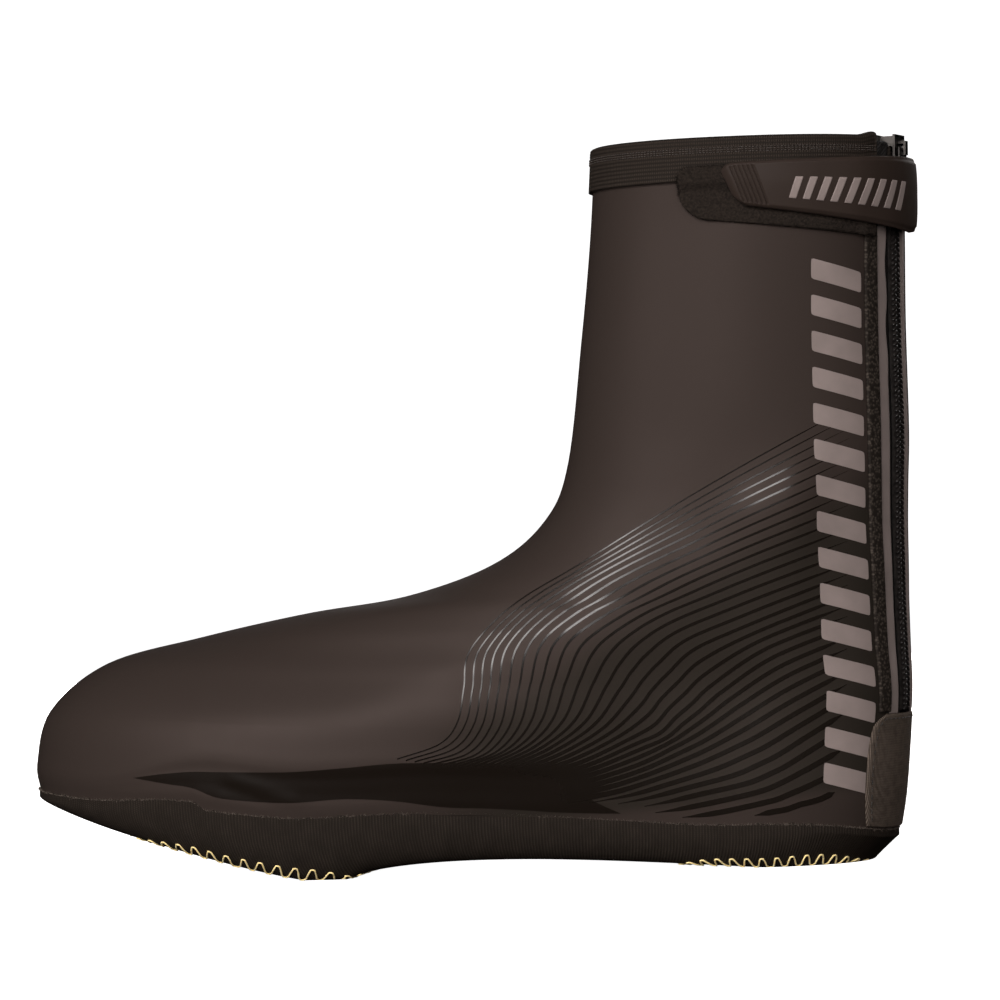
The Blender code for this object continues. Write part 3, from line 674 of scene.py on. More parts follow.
# Creases of the upper, in the side view: soft troughs (depth below 0) and ridges, from one place to
# another, with a width above the line and one below it. They lie on the outer side, and the inner
# side has them weaker.
Fold = namedtuple("Fold", "name x z to_x to_z above below depth")
FOLDS = (
    Fold("instep_roll", 0.0085, 0.0655, 0.041, 0.0705, 0.018, 0.034, 0.0026),
    Fold("ankle_roll", 0.050, 0.077, 0.084, 0.093, 0.0170, 0.040, 0.0033),
    Fold("heel_roll", 0.112, 0.115, 0.128, 0.121, 0.010, 0.026, 0.0029),
    Fold("vamp_dip", -0.085, 0.062, -0.030, 0.066, 0.014, 0.014, -0.0006),
    Fold("shaft_dip", 0.078, 0.145, 0.084, 0.205, 0.012, 0.012, -0.0007),
    Fold("shaft_roll", 0.104, 0.155, 0.106, 0.205, 0.013, 0.013, 0.0006),
    Fold("ball_ridge", -0.0655, 0.0345, -0.0470, 0.0275, 0.0026, 0.0026, 0.0004),
    Fold("ball_gutter", -0.0690, 0.0312, -0.0560, 0.0272, 0.0022, 0.0022, -0.0003),
)
FOLD_END = 1.3
INNER_FOLDS = 0.6
INNER_HOLLOW = 0.7
OUTER_FROM = (-0.006, 0.006)
BACK_CLEAR = (0.118, 0.136)

# The hollow above the rand: heights above the feather line, and where it begins and ends. The
# shares are of its height, with a roll above it and a lip below.
HOLLOW_LOW = 3.6 * MM
HOLLOW_TALL = 13.0 * MM
HOLLOW_TALL_AHEAD = 0.35
HOLLOW_DEPTH = 0.6 * MM
HOLLOW_FRONT = (-0.122, -0.070)
HOLLOW_BACK = (0.010, 0.062)
HOLLOW_SINKS = (0.0, 0.40)
HOLLOW_RISES = (0.66, 1.0)
HOLLOW_ROLL = 0.2 * MM
HOLLOW_ROLL_AT = (1.14, 0.22)
HOLLOW_LIP = 0.15 * MM
HOLLOW_LIP_AT = (-0.10, 0.16)


def fold_depth(points):
    """How far the upper's skin stands off the form."""
    x, y, z = points[..., 0], points[..., 1], points[..., 2]
    outer = eased(middle_line(x) - y, *OUTER_FROM)
    depth = np.zeros(x.shape)
    for fold in FOLDS:
        step = np.array([fold.to_x - fold.x, fold.to_z - fold.z])
        length = np.linalg.norm(step)
        ahead = ((x - fold.x) * step[0] + (z - fold.z) * step[1]) / length
        aside = ((x - fold.x) * step[1] - (z - fold.z) * step[0]) / length
        past = np.maximum(np.maximum(-ahead, ahead - length), 0.0)
        width = np.where(aside < 0, fold.above, fold.below)
        depth = depth + fold.depth * bell(aside, width) * bell(past, FOLD_END * fold.above)
    depth = depth * between(outer, INNER_FOLDS, 1.0) * (1 - eased(x, *BACK_CLEAR))
    return depth + hollow_depth(x, z) * between(outer, INNER_HOLLOW, 1.0)


def hollow_depth(x, z):
    begun = eased(x, *HOLLOW_FRONT)
    tall = HOLLOW_TALL * between(begun, HOLLOW_TALL_AHEAD, 1.0)
    share = (z - feather_line(x) - HOLLOW_LOW) / tall
    sunk = eased(share, *HOLLOW_SINKS) * (1 - eased(share, *HOLLOW_RISES))
    roll = HOLLOW_ROLL * bell(share - HOLLOW_ROLL_AT[0], HOLLOW_ROLL_AT[1])
    lip = HOLLOW_LIP * bell(share - HOLLOW_LIP_AT[0], HOLLOW_LIP_AT[1])
    return begun * (1 - eased(x, *HOLLOW_BACK)) * (roll + lip - HOLLOW_DEPTH * sunk)


# Upper: one fine sheet with the zip's slit, solid inwards, with a lining. Its columns lie closer
# together by the crease beside the ball.
UPPER_LEVELS = np.concatenate([
    np.linspace(0, 1.7, 50, endpoint=False),
    np.linspace(1.7, 3, 22, endpoint=False),
    np.linspace(3, COLLAR, 80),
])
UPPER_COLUMNS = 250
HEEL_COLUMNS = 12
CREASE_X = -0.074
CREASE_HALF = 0.016
CREASE_CLOSER = 2.2
SOFT_FROM = (3.4, 4.4)
SOFT_TO = (8.6, 9.6)
SOFT_REACHES = ((-1.2, 1), (-0.6, 2), (0.0, 3), (0.6, 2), (1.2, 1))


def even_columns(count):
    """Shares of the way round that step evenly along the loop at the toe's tip."""
    angles = np.linspace(0, 2 * math.pi, 2001)
    points = form(1.0, angles)
    step = np.linalg.norm(np.diff(points, axis=0), axis=1)
    crease = bell(points[1:, 0] - CREASE_X, CREASE_HALF) * (angles[1:] < math.pi)
    run = np.concatenate([[0.0], np.cumsum(step * (1 + CREASE_CLOSER * crease))])
    return np.interp(np.linspace(0, 1, count), run / run[-1], angles / (2 * math.pi))


def upper_angles(level, count):
    start = angle_at(level, zip_run(level) + SLIT_HALF)[..., None]
    end = angle_at(level, zip_run(level) - SLIT_HALF)[..., None] + 2 * math.pi
    return between(even_columns(count), start, end)


def evened(level, angle):
    """How far the sides move so that their width runs evenly through the waist and the ankle."""
    total = 0.0
    for reach, weight in SOFT_REACHES:
        near = np.clip(level + reach, 0, COLLAR)
        total = total + weight / 9 * form(near, angle)[..., 1]
    soft = eased(level, *SOFT_FROM) * (1 - eased(level, *SOFT_TO))
    return soft * (total - form(level, angle)[..., 1])


def skin(level, angle, lift=0.0):
    points = form(level, angle)
    points[..., 1] = points[..., 1] + evened(level, angle)
    return points + normal_at(level, angle) * (fold_depth(points) + lift)[..., None]


def on_side(x, z, side, lift):
    """Places of the side view on the skin, on the outer (1) or the inner (-1) side."""
    level = halving(z, lambda level: form(level, side * angle_of_x(level, x))[..., 2])
    return skin(level, side * angle_of_x(level, x), lift)


def make_upper():
    low_edge = UPPER_LEVELS[np.searchsorted(UPPER_LEVELS, SLIT_LOW)]
    levels = np.where(np.isclose(UPPER_LEVELS, low_edge), SLIT_LOW, UPPER_LEVELS)
    main = skin(levels[:, None] * np.ones(UPPER_COLUMNS), upper_angles(levels, UPPER_COLUMNS))
    spread = np.linspace(-SLIT_HALF, SLIT_HALF, HEEL_COLUMNS)
    heel_level = levels[levels <= SLIT_LOW][:, None] * np.ones(HEEL_COLUMNS)
    heel = skin(heel_level, angle_at(heel_level, zip_run(heel_level) + spread))
    parts = [(rows.reshape(-1, 3), grid_faces(*rows.shape[:2])) for rows in (main, heel)]
    made = piece("coated_upper", *joined(parts), [COATED, LINING], weld=True)
    thicken(made, WALL)
    apply_modifiers(made)
    return dress(made, "coated_fabric", "upper")


upper = make_upper()
UPPER_TREE = BVHTree.FromObject(upper, bpy.context.evaluated_depsgraph_get())


def on_skin(points, lift):
    """Points set on the upper's outer face, a little above it."""
    found = []
    for point in points.reshape(-1, 3):
        spot, normal, _, _ = UPPER_TREE.find_nearest(point + TO_ORIGIN)
        found.append(np.array(spot) + np.array(normal) * lift - TO_ORIGIN)
    return np.array(found)


# Black print: a long flame along the rand, in the side view
Mark = namedtuple("Mark", "name x low high")
PRINT = (
    Mark("tip", -0.1025, 0.0353, 0.0354),
    Mark("spear", -0.0905, 0.0333, 0.0367),
    Mark("step", -0.0795, 0.0314, 0.0372),
    Mark("past_step", -0.0735, 0.0290, 0.0370),
    Mark("ball", -0.0630, 0.0273, 0.0367),
    Mark("ball_back", -0.0460, 0.0263, 0.0364),
    Mark("waist_front", -0.0280, 0.0269, 0.0372),
    Mark("waist", -0.0120, 0.0257, 0.0381),
    Mark("roots", 0.0030, 0.0234, 0.0378),
    Mark("roots_back", 0.0180, 0.0224, 0.0372),
    Mark("fading", 0.0300, 0.0213, 0.0355),
    Mark("blunt", 0.0390, 0.0204, 0.0335),
    Mark("narrow", 0.0450, 0.0200, 0.0285),
    Mark("thin", 0.0525, 0.0196, 0.0232),
    Mark("end", 0.0600, 0.0193, 0.0194),
)
PRINT_STEPS = (14, 260)
FLAME_LIFT = 0.08 * MM


def print_flame(side):
    places, lows, highs = np.array([mark[1:] for mark in PRINT]).T
    share = np.linspace(0, 1, PRINT_STEPS[0])[:, None]
    x = np.linspace(places[0], places[-1], PRINT_STEPS[1]) * np.ones(share.shape)
    z = between(share, through(x, places, lows), through(x, places, highs))
    return on_side(x, z, side, FLAME_LIFT).reshape(-1, 3), grid_faces(*PRINT_STEPS)


# Gloss lines: flowing stripes that part from the black print and rise to the heel. The guides are
# a few of the lines, as millimetres in the side view; the others run between them.
GLOSS_LINES = 32
GLOSS_STEPS = 240
GLOSS_LIFT = 0.10 * MM
GLOSS_RISE = 0.07 * MM
GLOSS_HALF = (0.23 * MM, 0.93 * MM)
GLOSS_POWER = 1.25
GLOSS_TAPER = (0.95, 1.0)
GLOSS_TAPERED = 0.9
GLOSS_ROOT = 0.22 * MM
GLOSS_ROOT_STEPS = (0.0, 0.22)
GLOSS_ROOT_LINES = (0.3, 0.6)
GLOSS_POINTED_LINES = (0.80, 0.84)
GLOSS_POINT = 0.1
Guide = namedtuple("Guide", "line knots")
GUIDES = (
    Guide(0, (
        (-11, 39.5), (3, 44), (9, 51), (11, 61), (13, 73), (26, 87), (48, 99.5), (86.5, 121),
        (138, 147.5),
    )),
    Guide(5, (
        (3, 37), (15, 40.5), (22.5, 49), (25.5, 60.5), (28.5, 73), (39, 84), (59, 96), (88.5, 109.5),
        (137.5, 131),
    )),
    Guide(10, (
        (16.5, 36), (30.5, 42), (39.5, 50.5), (44.5, 63), (49.5, 73), (58, 80), (73, 88), (96.5, 97.5),
        (136.5, 112.5),
    )),
    Guide(13, (
        (24, 35.5), (38.5, 41.5), (50.5, 50), (57.5, 61), (62, 68), (68.5, 74.5), (79.5, 81), (101, 89),
        (136, 101),
    )),
    Guide(16, (
        (29.5, 33.5), (45, 39), (58.5, 46), (67.5, 53.5), (72, 59), (77.5, 64.5), (86.5, 72),
        (105, 79.5), (135.5, 90.5),
    )),
    Guide(19, (
        (38, 32), (52, 36), (65.5, 41.5), (74, 45), (79.5, 50), (84.5, 54), (92, 60.5), (109, 71),
        (135, 80.5),
    )),
    Guide(22, (
        (42, 28.5), (55, 31.5), (68, 35.5), (79, 40.5), (86, 44), (92.5, 48), (101, 53.5), (115.5, 62),
        (134.5, 70),
    )),
    Guide(25, (
        (43, 24), (59, 26.5), (72, 30), (84.5, 34), (91, 36.5), (98, 39.5), (105.5, 43), (118, 50),
        (134, 58.5),
    )),
    Guide(28, (
        (68, 21.5), (77, 23), (87, 25), (97.5, 27), (103.5, 28.5), (108.5, 30.5), (114, 33), (122.5, 38),
        (132.5, 44),
    )),
    Guide(30, (
        (80, 17.5), (86, 18), (93.5, 19), (101.5, 20.5), (106.5, 21.5), (111, 22.5), (115, 24),
        (122.5, 27), (131, 31),
    )),
    Guide(31, (
        (103.5, 17.5), (106.5, 18), (109.5, 18.5), (113, 19), (115, 19.5), (118, 20.5), (120.5, 21),
        (124.5, 22), (129, 24),
    )),
)


def gloss_path(share, way):
    """The line's places in the side view; share 0 is the top line and 1 the lowest."""
    lines = np.array([guide.line for guide in GUIDES]) / (GLOSS_LINES - 1)
    knots = np.array([guide.knots for guide in GUIDES]) * MM
    places = np.linspace(0, 1, knots.shape[1])
    knots = knots.transpose(1, 2, 0)
    line = np.array([[through(share, lines, column) for column in row] for row in knots])
    return through(way, places, line[:, 0]), through(way, places, line[:, 1])


def gloss_strip(share, side):
    way = np.linspace(0, 1, GLOSS_STEPS)
    x, z = gloss_path(share, way)
    step = unit(np.stack([np.gradient(x), np.gradient(z)], axis=-1))
    at_root = 1 - eased(way, *GLOSS_ROOT_STEPS)
    taper = 1 - GLOSS_TAPERED * eased(way, *GLOSS_TAPER)
    half = between(share**GLOSS_POWER, *GLOSS_HALF) * taper
    half = half + GLOSS_ROOT * eased(share, *GLOSS_ROOT_LINES) * at_root
    half = half * between(eased(share, *GLOSS_POINTED_LINES) * at_root, 1.0, GLOSS_POINT)
    lift = GLOSS_LIFT + GLOSS_RISE * share
    rows = []
    for aside in (-1.0, 0.0, 1.0):
        over = aside * half
        rows.append(on_side(x - over * step[:, 1], z + over * step[:, 0], side, lift))
    return np.concatenate(rows), grid_faces(3, GLOSS_STEPS)


gloss_parts = [gloss_strip(share, side) for side, _ in SIDES for share in np.linspace(0, 1, GLOSS_LINES)]
small_parts("black_flame", BLACK_PRINT, [print_flame(1), print_flame(-1)], "coated_fabric")
small_parts("gloss_lines", GLOSS, gloss_parts, "coated_fabric")

# Reflective print: a column of slanted bars beside the zip
BARS = 15
BAR_LOW = 0.028
BAR_PITCH = 11.6 * MM
BAR_TALL = 6.6 * MM
BAR_SLANT = 5.0 * MM
BAR_RUNS = (0.0188, 0.0365)
BAR_STEPS = (9, 15)
BAR_LIFT = 0.24 * MM
BAR_CORNER = 5
BAR_END = 0.90


def bar_grid(rows, columns):
    """Places over a bar with round corners, from -1 to 1 up it and along it."""
    up = steps(rows)[:, None] * np.ones(columns)
    reach = (1 - np.abs(up) ** BAR_CORNER) ** (1 / BAR_CORNER)
    return up, steps(columns)[None, :] * between(reach, BAR_END, 1.0)


def reflective_bar(number):
    up, length = bar_grid(*BAR_STEPS)
    distance = between((length + 1) / 2, *BAR_RUNS)
    height = BAR_LOW + number * BAR_PITCH + up * BAR_TALL / 2 + length * BAR_SLANT / 2
    run = zip_run(level_at(height, distance)) + distance
    level = level_at(height, run)
    return on_skin(skin(level, angle_at(level, run)), BAR_LIFT), grid_faces(*BAR_STEPS)


reflective_parts = [reflective_bar(number) for number in range(BARS)]
small_parts("reflective_bars", REFLECTIVE, reflective_parts, "reflective_film")

# Sole: rand, tread and the two openings in it
SOLE_DROPS = np.concatenate([np.linspace(2.0, 1.0, 14, endpoint=False), np.linspace(1.0, 0.0, 34)])
SOLE_COLUMNS = 481
RAND_PROUD = 0.45 * MM
RAND_PROUD_DROPS = (0.0, 0.7)
RAND_RISES = np.linspace(0, 1, 5)[1:]
RAND_OVER = 2.5 * MM
RAGGED = 0.30 * MM
LIP_DROP = 1.7 * MM
CUTTER_LOW = -0.02
CUTTER_TALL = 0.06
CUTTER_STEPS = 120


def sole_turn(drop, x):
    """How far in and how far down the sole has turned from its border to the tread's edge."""
    turn = np.minimum(drop, 1.0) * math.pi / 2
    at_heel = eased(along(x), *HEEL_TURN)
    at_toe = 1 - eased(along(x), *TOE_TURN)
    square = TREAD_TURN + at_heel * (TREAD_TURN_HEEL - TREAD_TURN) + at_toe * (TREAD_TURN_TOE - TREAD_TURN)
    return 1 - np.maximum(np.cos(turn), 0.0) ** (2 / square), np.sin(turn) ** (2 / square)


def sole_place(drop, angle):
    """Drop 0 lies under the rand's border, 1 on the tread's edge and 2 on the line along its middle."""
    drop, angle = np.broadcast_arrays(np.asarray(drop, float), np.asarray(angle, float))
    top = form(0.0, angle) - UP * LIP_DROP
    _, x, y = outline(TREAD, angle)
    low = np.stack([x, y, tread_height(x)], axis=-1)
    inward, down = sole_turn(drop, x)
    place = between(np.stack([inward, inward, down], axis=-1), top, low)
    proud = RAND_PROUD * (1 - eased(drop, *RAND_PROUD_DROPS))
    place = place + normal_at(np.zeros(angle.shape), angle) * (1 - UP) * proud[..., None]
    place[..., 1] = between(np.maximum(drop - 1.0, 0.0), place[..., 1], middle_line(place[..., 0]))
    return place


def sole_angle(drop, x):
    """The angle at which the sole's loop passes an x, on the outer side."""
    inward, _ = sole_turn(drop, x)
    front = between(inward, SECTIONS[0].front_x, TREAD.front_x)
    back = between(inward, SECTIONS[0].back_x, TREAD.back_x)
    return np.arccos(np.clip(2 * (along(x) - front) / (back - front) - 1, -1, 1))


def sole_out(drop, angle):
    """The sole's outward direction at a place on its turn."""
    down = sole_place(drop + NEAR_LEVEL, angle) - sole_place(drop - NEAR_LEVEL, angle)
    round_it = sole_place(drop, angle + NEAR_LEVEL) - sole_place(drop, angle - NEAR_LEVEL)
    return unit(np.cross(round_it, down))


def make_sole():
    angle = np.linspace(0, 2 * math.pi, SOLE_COLUMNS)
    rows = sole_place(SOLE_DROPS[:, None], angle[None, :])
    ragged = random.normal(size=SOLE_COLUMNS)
    ragged[-1] = ragged[0]
    over = [share * RAND_OVER + share**4 * ragged * RAGGED for share in RAND_RISES]
    rows = np.concatenate([rows, rows[-1] + UP * np.array(over)[..., None]])
    fall = np.array([way_along(column) for column in rows.swapaxes(0, 1)]).T
    spread = np.stack([np.broadcast_to(way_along(rows[-1]), fall.shape), fall], axis=-1).reshape(-1, 2)
    faces = grid_faces(*rows.shape[:2])
    made = piece("woven_sole", rows.reshape(-1, 3), faces, [WOVEN, LINING], spread, weld=True)
    thicken(made, SOLE_WALL)
    cutters = [cutter(cutout) for cutout in CUTOUTS]
    for tool in cutters:
        cut = made.modifiers.new(tool.name, "BOOLEAN")
        cut.object = tool
        cut.solver = "EXACT"
    apply_modifiers(made)
    for tool in cutters:
        bpy.data.objects.remove(tool)
    dress(made, "woven_base", "sole_panel")


def cutter(cutout):
    count = CUTTER_STEPS
    turn = np.linspace(0, 2 * math.pi, count, endpoint=False)
    x = power_of(np.cos(turn), 2 / CUTOUT_ROUND) * cutout.half_length * LENGTH
    x = x + (cutout.middle - 0.5) * LENGTH
    y = power_of(np.sin(turn), 2 / CUTOUT_ROUND) * cutout.half_width * BALL_WIDTH + middle_line(x)
    low = np.stack([x, y, np.full(count, CUTTER_LOW)], axis=1)
    points = np.concatenate([low, low + UP * CUTTER_TALL])
    faces = [(row, (row + 1) % count, count + (row + 1) % count, count + row) for row in range(count)]
    faces += [tuple(range(count - 1, -1, -1)), tuple(range(count, 2 * count))]
    return piece(f"cutter_{cutout.name}", points, faces, [])


make_sole()

# Zigzag thread round both openings, on the turn of the tread
Ring = namedtuple("Ring", "name middle half peaks low high")
RINGS = (
    Ring("front", -0.0680, 0.0415, 54, 0.86, 0.51),
    Ring("heel", 0.1072, 0.0295, 44, 0.90, 0.53),
)
RING_ROUND = 0.5
ZIG_STEPS = 10
ZIG_TALL = 3.2 * MM
ZIG_THREAD = 0.29 * MM
ZIG_LIFT = 0.20 * MM
ZIG_FLOOR = 0.32 * MM
ZIG_PRESSED = 0.05
ZIG_SUNK = 0.9
ZIG_POINTED = 0.06
ZIG_LEAST = 0.01 * MM


def ring_path(ring, turn, zig):
    """A path round an opening; zig runs from 0 on its low side to 1 on its high side."""
    side = power_of(np.sin(turn), RING_ROUND)
    x = ring.middle + power_of(np.cos(turn), RING_ROUND) * (ring.half + ZIG_TALL * zig)
    slope = (tread_height(x + MM) - tread_height(x - MM)) / (2 * MM)
    x = x - slope * ZIG_TALL * zig * np.abs(side)
    drop = between(np.abs(side), 2.0, between(zig, ring.low, ring.high))
    angle = sole_angle(drop, x) * np.where(side < 0, -1, 1)
    place = sole_place(drop, angle)
    lift = np.minimum(ZIG_LIFT, place[..., 2] - ZIG_SUNK * ZIG_THREAD)
    path = place + sole_out(drop, angle) * lift[..., None]
    path[..., 2] = np.maximum(path[..., 2], between(ZIG_PRESSED, ZIG_FLOOR, path[..., 2]))
    return path


def zigzag(ring):
    turn = np.linspace(0, 2 * math.pi, 2401)
    run = way_along(ring_path(ring, turn, np.full(turn.shape, 0.5)))
    count = ring.peaks * ZIG_STEPS
    turn = np.interp(np.linspace(0, run[-1], count, endpoint=False), run, turn)
    phase = np.arange(count) / ZIG_STEPS * 2 * math.pi
    zig = 0.5 - 0.5 * np.cos(phase) + ZIG_POINTED * np.cos(3 * phase)
    path = ring_path(ring, turn, zig)
    moved = np.linalg.norm(path - np.roll(path, 1, axis=0), axis=1) > ZIG_LEAST
    return tube(path[moved], ZIG_THREAD, 6, closed=True)


small_parts("sole_stitches", YELLOW, [zigzag(ring) for ring in RINGS], "woven_base")

# Collar: elastic folded over the upper's edge, with ribs below its fold and rows of stitches
BAND_LEVEL = float(level_at(BAND_LOW, 0.06))
BAND_STEP = GAP + BAND_THICK
COLLAR_COLUMNS = 241
COLLAR_ROWS = 44
COLLAR_MIDDLE = 100
COLLAR_SEAMS = (0.0024, 0.0031, 0.0038)
RIB_DEPTH = 0.16 * MM
RIB_PITCH = 0.85 * MM
RIBS = 3.2
FOLD_TURNS = np.linspace(0, math.pi, 9)[1:-1]
FOLD_PEAK = 1.2 * MM
FOLD_PEAK_RUN = 7.0 * MM
FOLD_PEAK_TALL = 0.012


def collar_angles(level):
    return upper_angles(np.asarray(level, float), COLLAR_COLUMNS)


def make_collar():
    levels = np.linspace(BAND_LEVEL, COLLAR, COLLAR_ROWS)
    angle = collar_angles(levels)
    level = np.broadcast_to(levels[:, None], angle.shape)
    below = form(float(COLLAR), collar_angles(COLLAR))[:, 2] - form(level, angle)[..., 2]
    ribs = RIB_DEPTH * np.sin(math.pi * below / RIB_PITCH) ** 2 * (below < RIBS * RIB_PITCH)
    inside = -WALL - GAP - BAND_THICK
    outer = lifted(level, angle, BAND_STEP - RIB_DEPTH + ribs)
    inner = lifted(level, angle, np.full(level.shape, inside))[::-1]
    top = form(float(COLLAR), angle[-1])
    normal = normal_at(np.full(COLLAR_COLUMNS, float(COLLAR)), angle[-1])
    fold = []
    for turn in FOLD_TURNS:
        reach = between((1 + math.cos(turn)) / 2, inside, BAND_STEP)
        fold.append(top + normal * reach + UP * BAND_STEP * math.sin(turn))
    rows = np.concatenate([outer, np.array(fold), inner])
    run = way_along(top)
    end = np.minimum(run, run[-1] - run)
    rise = eased(rows[..., 2], BAND_LOW, BAND_LOW + FOLD_PEAK_TALL)
    rows[..., 2] += FOLD_PEAK * rise * (1 - eased(end, 0.0, FOLD_PEAK_RUN))
    height = way_along(rows[:, COLLAR_MIDDLE])
    spread = np.stack(np.broadcast_arrays(run[None, :], height[:, None]), axis=-1).reshape(-1, 2)
    count = len(rows)
    faces = grid_faces(count, COLLAR_COLUMNS, up=True)
    faces.append(tuple(row * COLLAR_COLUMNS for row in range(count)))
    faces.append(tuple(row * COLLAR_COLUMNS + COLLAR_COLUMNS - 1 for row in range(count - 1, -1, -1)))
    made = piece("ribbed_collar", rows.reshape(-1, 3), faces, [RIBBED], spread)
    dress(made, "ribbed_elastic", "collar_band")


DASH_ARCH = np.array([-1.0, 0.7, 1.0, 0.7, -1.0])


def dashes(level, angle, over, long, pitch, radius, lift):
    """Short stitches along a line that lies over the form."""
    normal = normal_at(level, angle)
    path = form(level, angle) + normal * over
    run = way_along(path)
    parts = []
    for start in np.arange(pitch / 2, run[-1] - pitch, pitch):
        places = start + np.linspace(0, long, len(DASH_ARCH))
        points, out = [
            np.stack([np.interp(places, run, column) for column in values.T], axis=1)
            for values in (path, normal)
        ]
        parts.append(tube(points + out * (lift * DASH_ARCH)[:, None], radius, 5))
    return parts


def collar_seams():
    angle = collar_angles(COLLAR)
    tall = form(float(COLLAR), angle)[:, 2].mean() - form(COLLAR - 1.0, angle)[:, 2].mean()
    parts = []
    for below in COLLAR_SEAMS:
        level = np.full(COLLAR_COLUMNS, COLLAR - below / tall)
        parts += dashes(level, angle, BAND_STEP, 0.7 * MM, 1.15 * MM, 0.13 * MM, 0.06 * MM)
    return parts


make_collar()
small_parts("collar_stitches", BROWN, collar_seams(), "ribbed_elastic")

# Heel patch over the end of the zip
PATCH_LOW = 0.12
PATCH_TOP = 2.44
PATCH_HALF = 0.0235
PATCH_BULGE = 0.0030
PATCH_CORNER = 0.0045
PATCH_CORNER_FROM = 0.86
PATCH_THICK = 0.0009
PATCH_STEPS = (48, 64)
SEAM_IN = 2.0 * MM
SEAM_STITCH = 1.5 * MM
SEAM_PITCH = 2.4 * MM
SEAM_THREAD = 0.16 * MM
SEAM_LIFT = 0.10 * MM
SEAM_SIDE = np.linspace(0.04, 0.955, 120)
SEAM_ACROSS = np.linspace(1, -1, 60)


def patch_half(share):
    corner = PATCH_CORNER * np.clip((share - PATCH_CORNER_FROM) / (1 - PATCH_CORNER_FROM), 0, 1) ** 2
    return PATCH_HALF + PATCH_BULGE * np.sin(math.pi * share) - corner


def make_patch():
    share = shares(PATCH_STEPS[0])[:, None]
    level = between(share, PATCH_LOW, PATCH_TOP) * np.ones(PATCH_STEPS)
    run = steps(PATCH_STEPS[1]) * patch_half(share)
    shape = (level, run, GAP, PATCH_THICK, (0.05, 0.05))
    pad_piece("heel_cloth", STRETCH, shape, "stretch_weave", "heel_patch")


def patch_seam():
    """The stitches inside the patch's sides and top."""
    top = np.full(SEAM_ACROSS.shape, SEAM_SIDE[-1])
    share = np.concatenate([SEAM_SIDE, top, SEAM_SIDE[::-1]])
    along_side = np.ones(SEAM_SIDE.shape)
    side = np.concatenate([along_side, SEAM_ACROSS, -along_side])
    level = between(share, PATCH_LOW, PATCH_TOP)
    angle = angle_at(level, side * (patch_half(share) - SEAM_IN))
    return dashes(level, angle, GAP + PATCH_THICK, SEAM_STITCH, SEAM_PITCH, SEAM_THREAD, SEAM_LIFT)


make_patch()
small_parts("heel_stitches", BLACK, patch_seam(), "stretch_weave")

# Zip: two tapes behind the slit's edges, strips and edge tapes beside it, and the coil
CHAIN_HALF = 0.0045
CHAIN_DEPTH = (-0.0026, 0.0003)
TAPE_EDGE = 0.0036
TAPE_TOP = -0.00045
TAPE_WIDTH = 0.0150
STRIP_LEVELS = (PATCH_TOP - 0.04, COLLAR - 0.05)
STRIP_FROM = 0.0064
STRIP_TO = 0.0120
STRIP_TOP = {"lateral": 0.0001, "medial": 0.0008}
STRIP_LIFT = TAPE_LIFT + TAPE_THICK + GAP
STRIP_WAVE = 0.55 * MM
STRIP_WAVE_LONG = 21 * MM
STRIP_WAVE_FROM = (0.150, 0.170)
STRIP_WAVE_TO = (0.215, 0.235)
STRIP_SUNK = 1.4 * MM
STRIP_SUNK_FROM = (0.2240, 0.2260)
EDGE_FROM = 0.0122
EDGE_TO = 0.0176
EDGE_THICK = 0.0008
EDGE_TOP = BAND_LEVEL - 0.02
EDGE_SHORT = 0.015
SLIDER_HEIGHT = 0.2318
SLIDER_TALL = 0.0088
ZIP_STEPS = (9, 140)


def zip_grid(counts, levels, near, far, side=1):
    """Levels and runs over a strip along the zip, between two distances to one side of its line."""
    level = between(shares(counts[1]), *levels) * np.ones(counts)
    run = zip_run(level) + side * between(shares(counts[0])[:, None], near, far)
    return level[::side], run[::side]


def zip_pad(name, levels, near, far, side, lift, top, coat, slot, solid, wave=0.0, sunk=0.0):
    """A strip beside the zip from a lift to a top, with a wavy near edge and a sunken upper end."""
    level = between(shares(ZIP_STEPS[1]), *levels)
    height = form(level, angle_at(level, zip_run(level)))[..., 2]
    waved = wave * eased(height, *STRIP_WAVE_FROM) * (1 - eased(height, *STRIP_WAVE_TO))
    near = near + waved * np.sin(2 * math.pi * height / STRIP_WAVE_LONG)
    grid = zip_grid(ZIP_STEPS, levels, near, far, side)
    relief = -sunk * eased(height, *STRIP_SUNK_FROM)
    pad_piece(name, coat, (*grid, lift, top - lift, (0.16, 0.012), relief), slot, solid)


for side, name in SIDES:
    zip_pad(
        f"tape_{name}", (TAPE_LOW, EDGE_TOP), TAPE_EDGE, TAPE_EDGE + TAPE_WIDTH, side,
        TAPE_LIFT, TAPE_TOP, ZIP_CLOTH, "zip_tape", f"zip_tape_{name}",
    )
    zip_pad(
        f"strip_{name}", STRIP_LEVELS, STRIP_FROM, STRIP_TO, side, STRIP_LIFT, STRIP_TOP[name],
        REFLECTIVE, "reflective_film", f"reflective_strip_{name}", STRIP_WAVE, STRIP_SUNK,
    )
    zip_pad(
        f"binding_{name}", (ZIP_LOW, EDGE_TOP - EDGE_SHORT), EDGE_FROM, EDGE_TO, side,
        GAP, GAP + EDGE_THICK, BINDING, "edge_tape", f"edge_tape_{name}",
    )

# Coil: a core with two columns of slanting beads
TOOTH_PITCH = 1.65 * MM
TOOTH = np.array([1.7, 0.60, 0.66]) * MM
TOOTH_AWAY = 1.9 * MM
TOOTH_OUT = CHAIN_DEPTH[1] + 0.05 * MM
TOOTH_LEAN = math.radians(38)
TOOTH_ROUND = (8, 6)
TOOTH_ENDS = (0.6 * MM, 0.4 * MM)
CORE_STEPS = (7, 140)


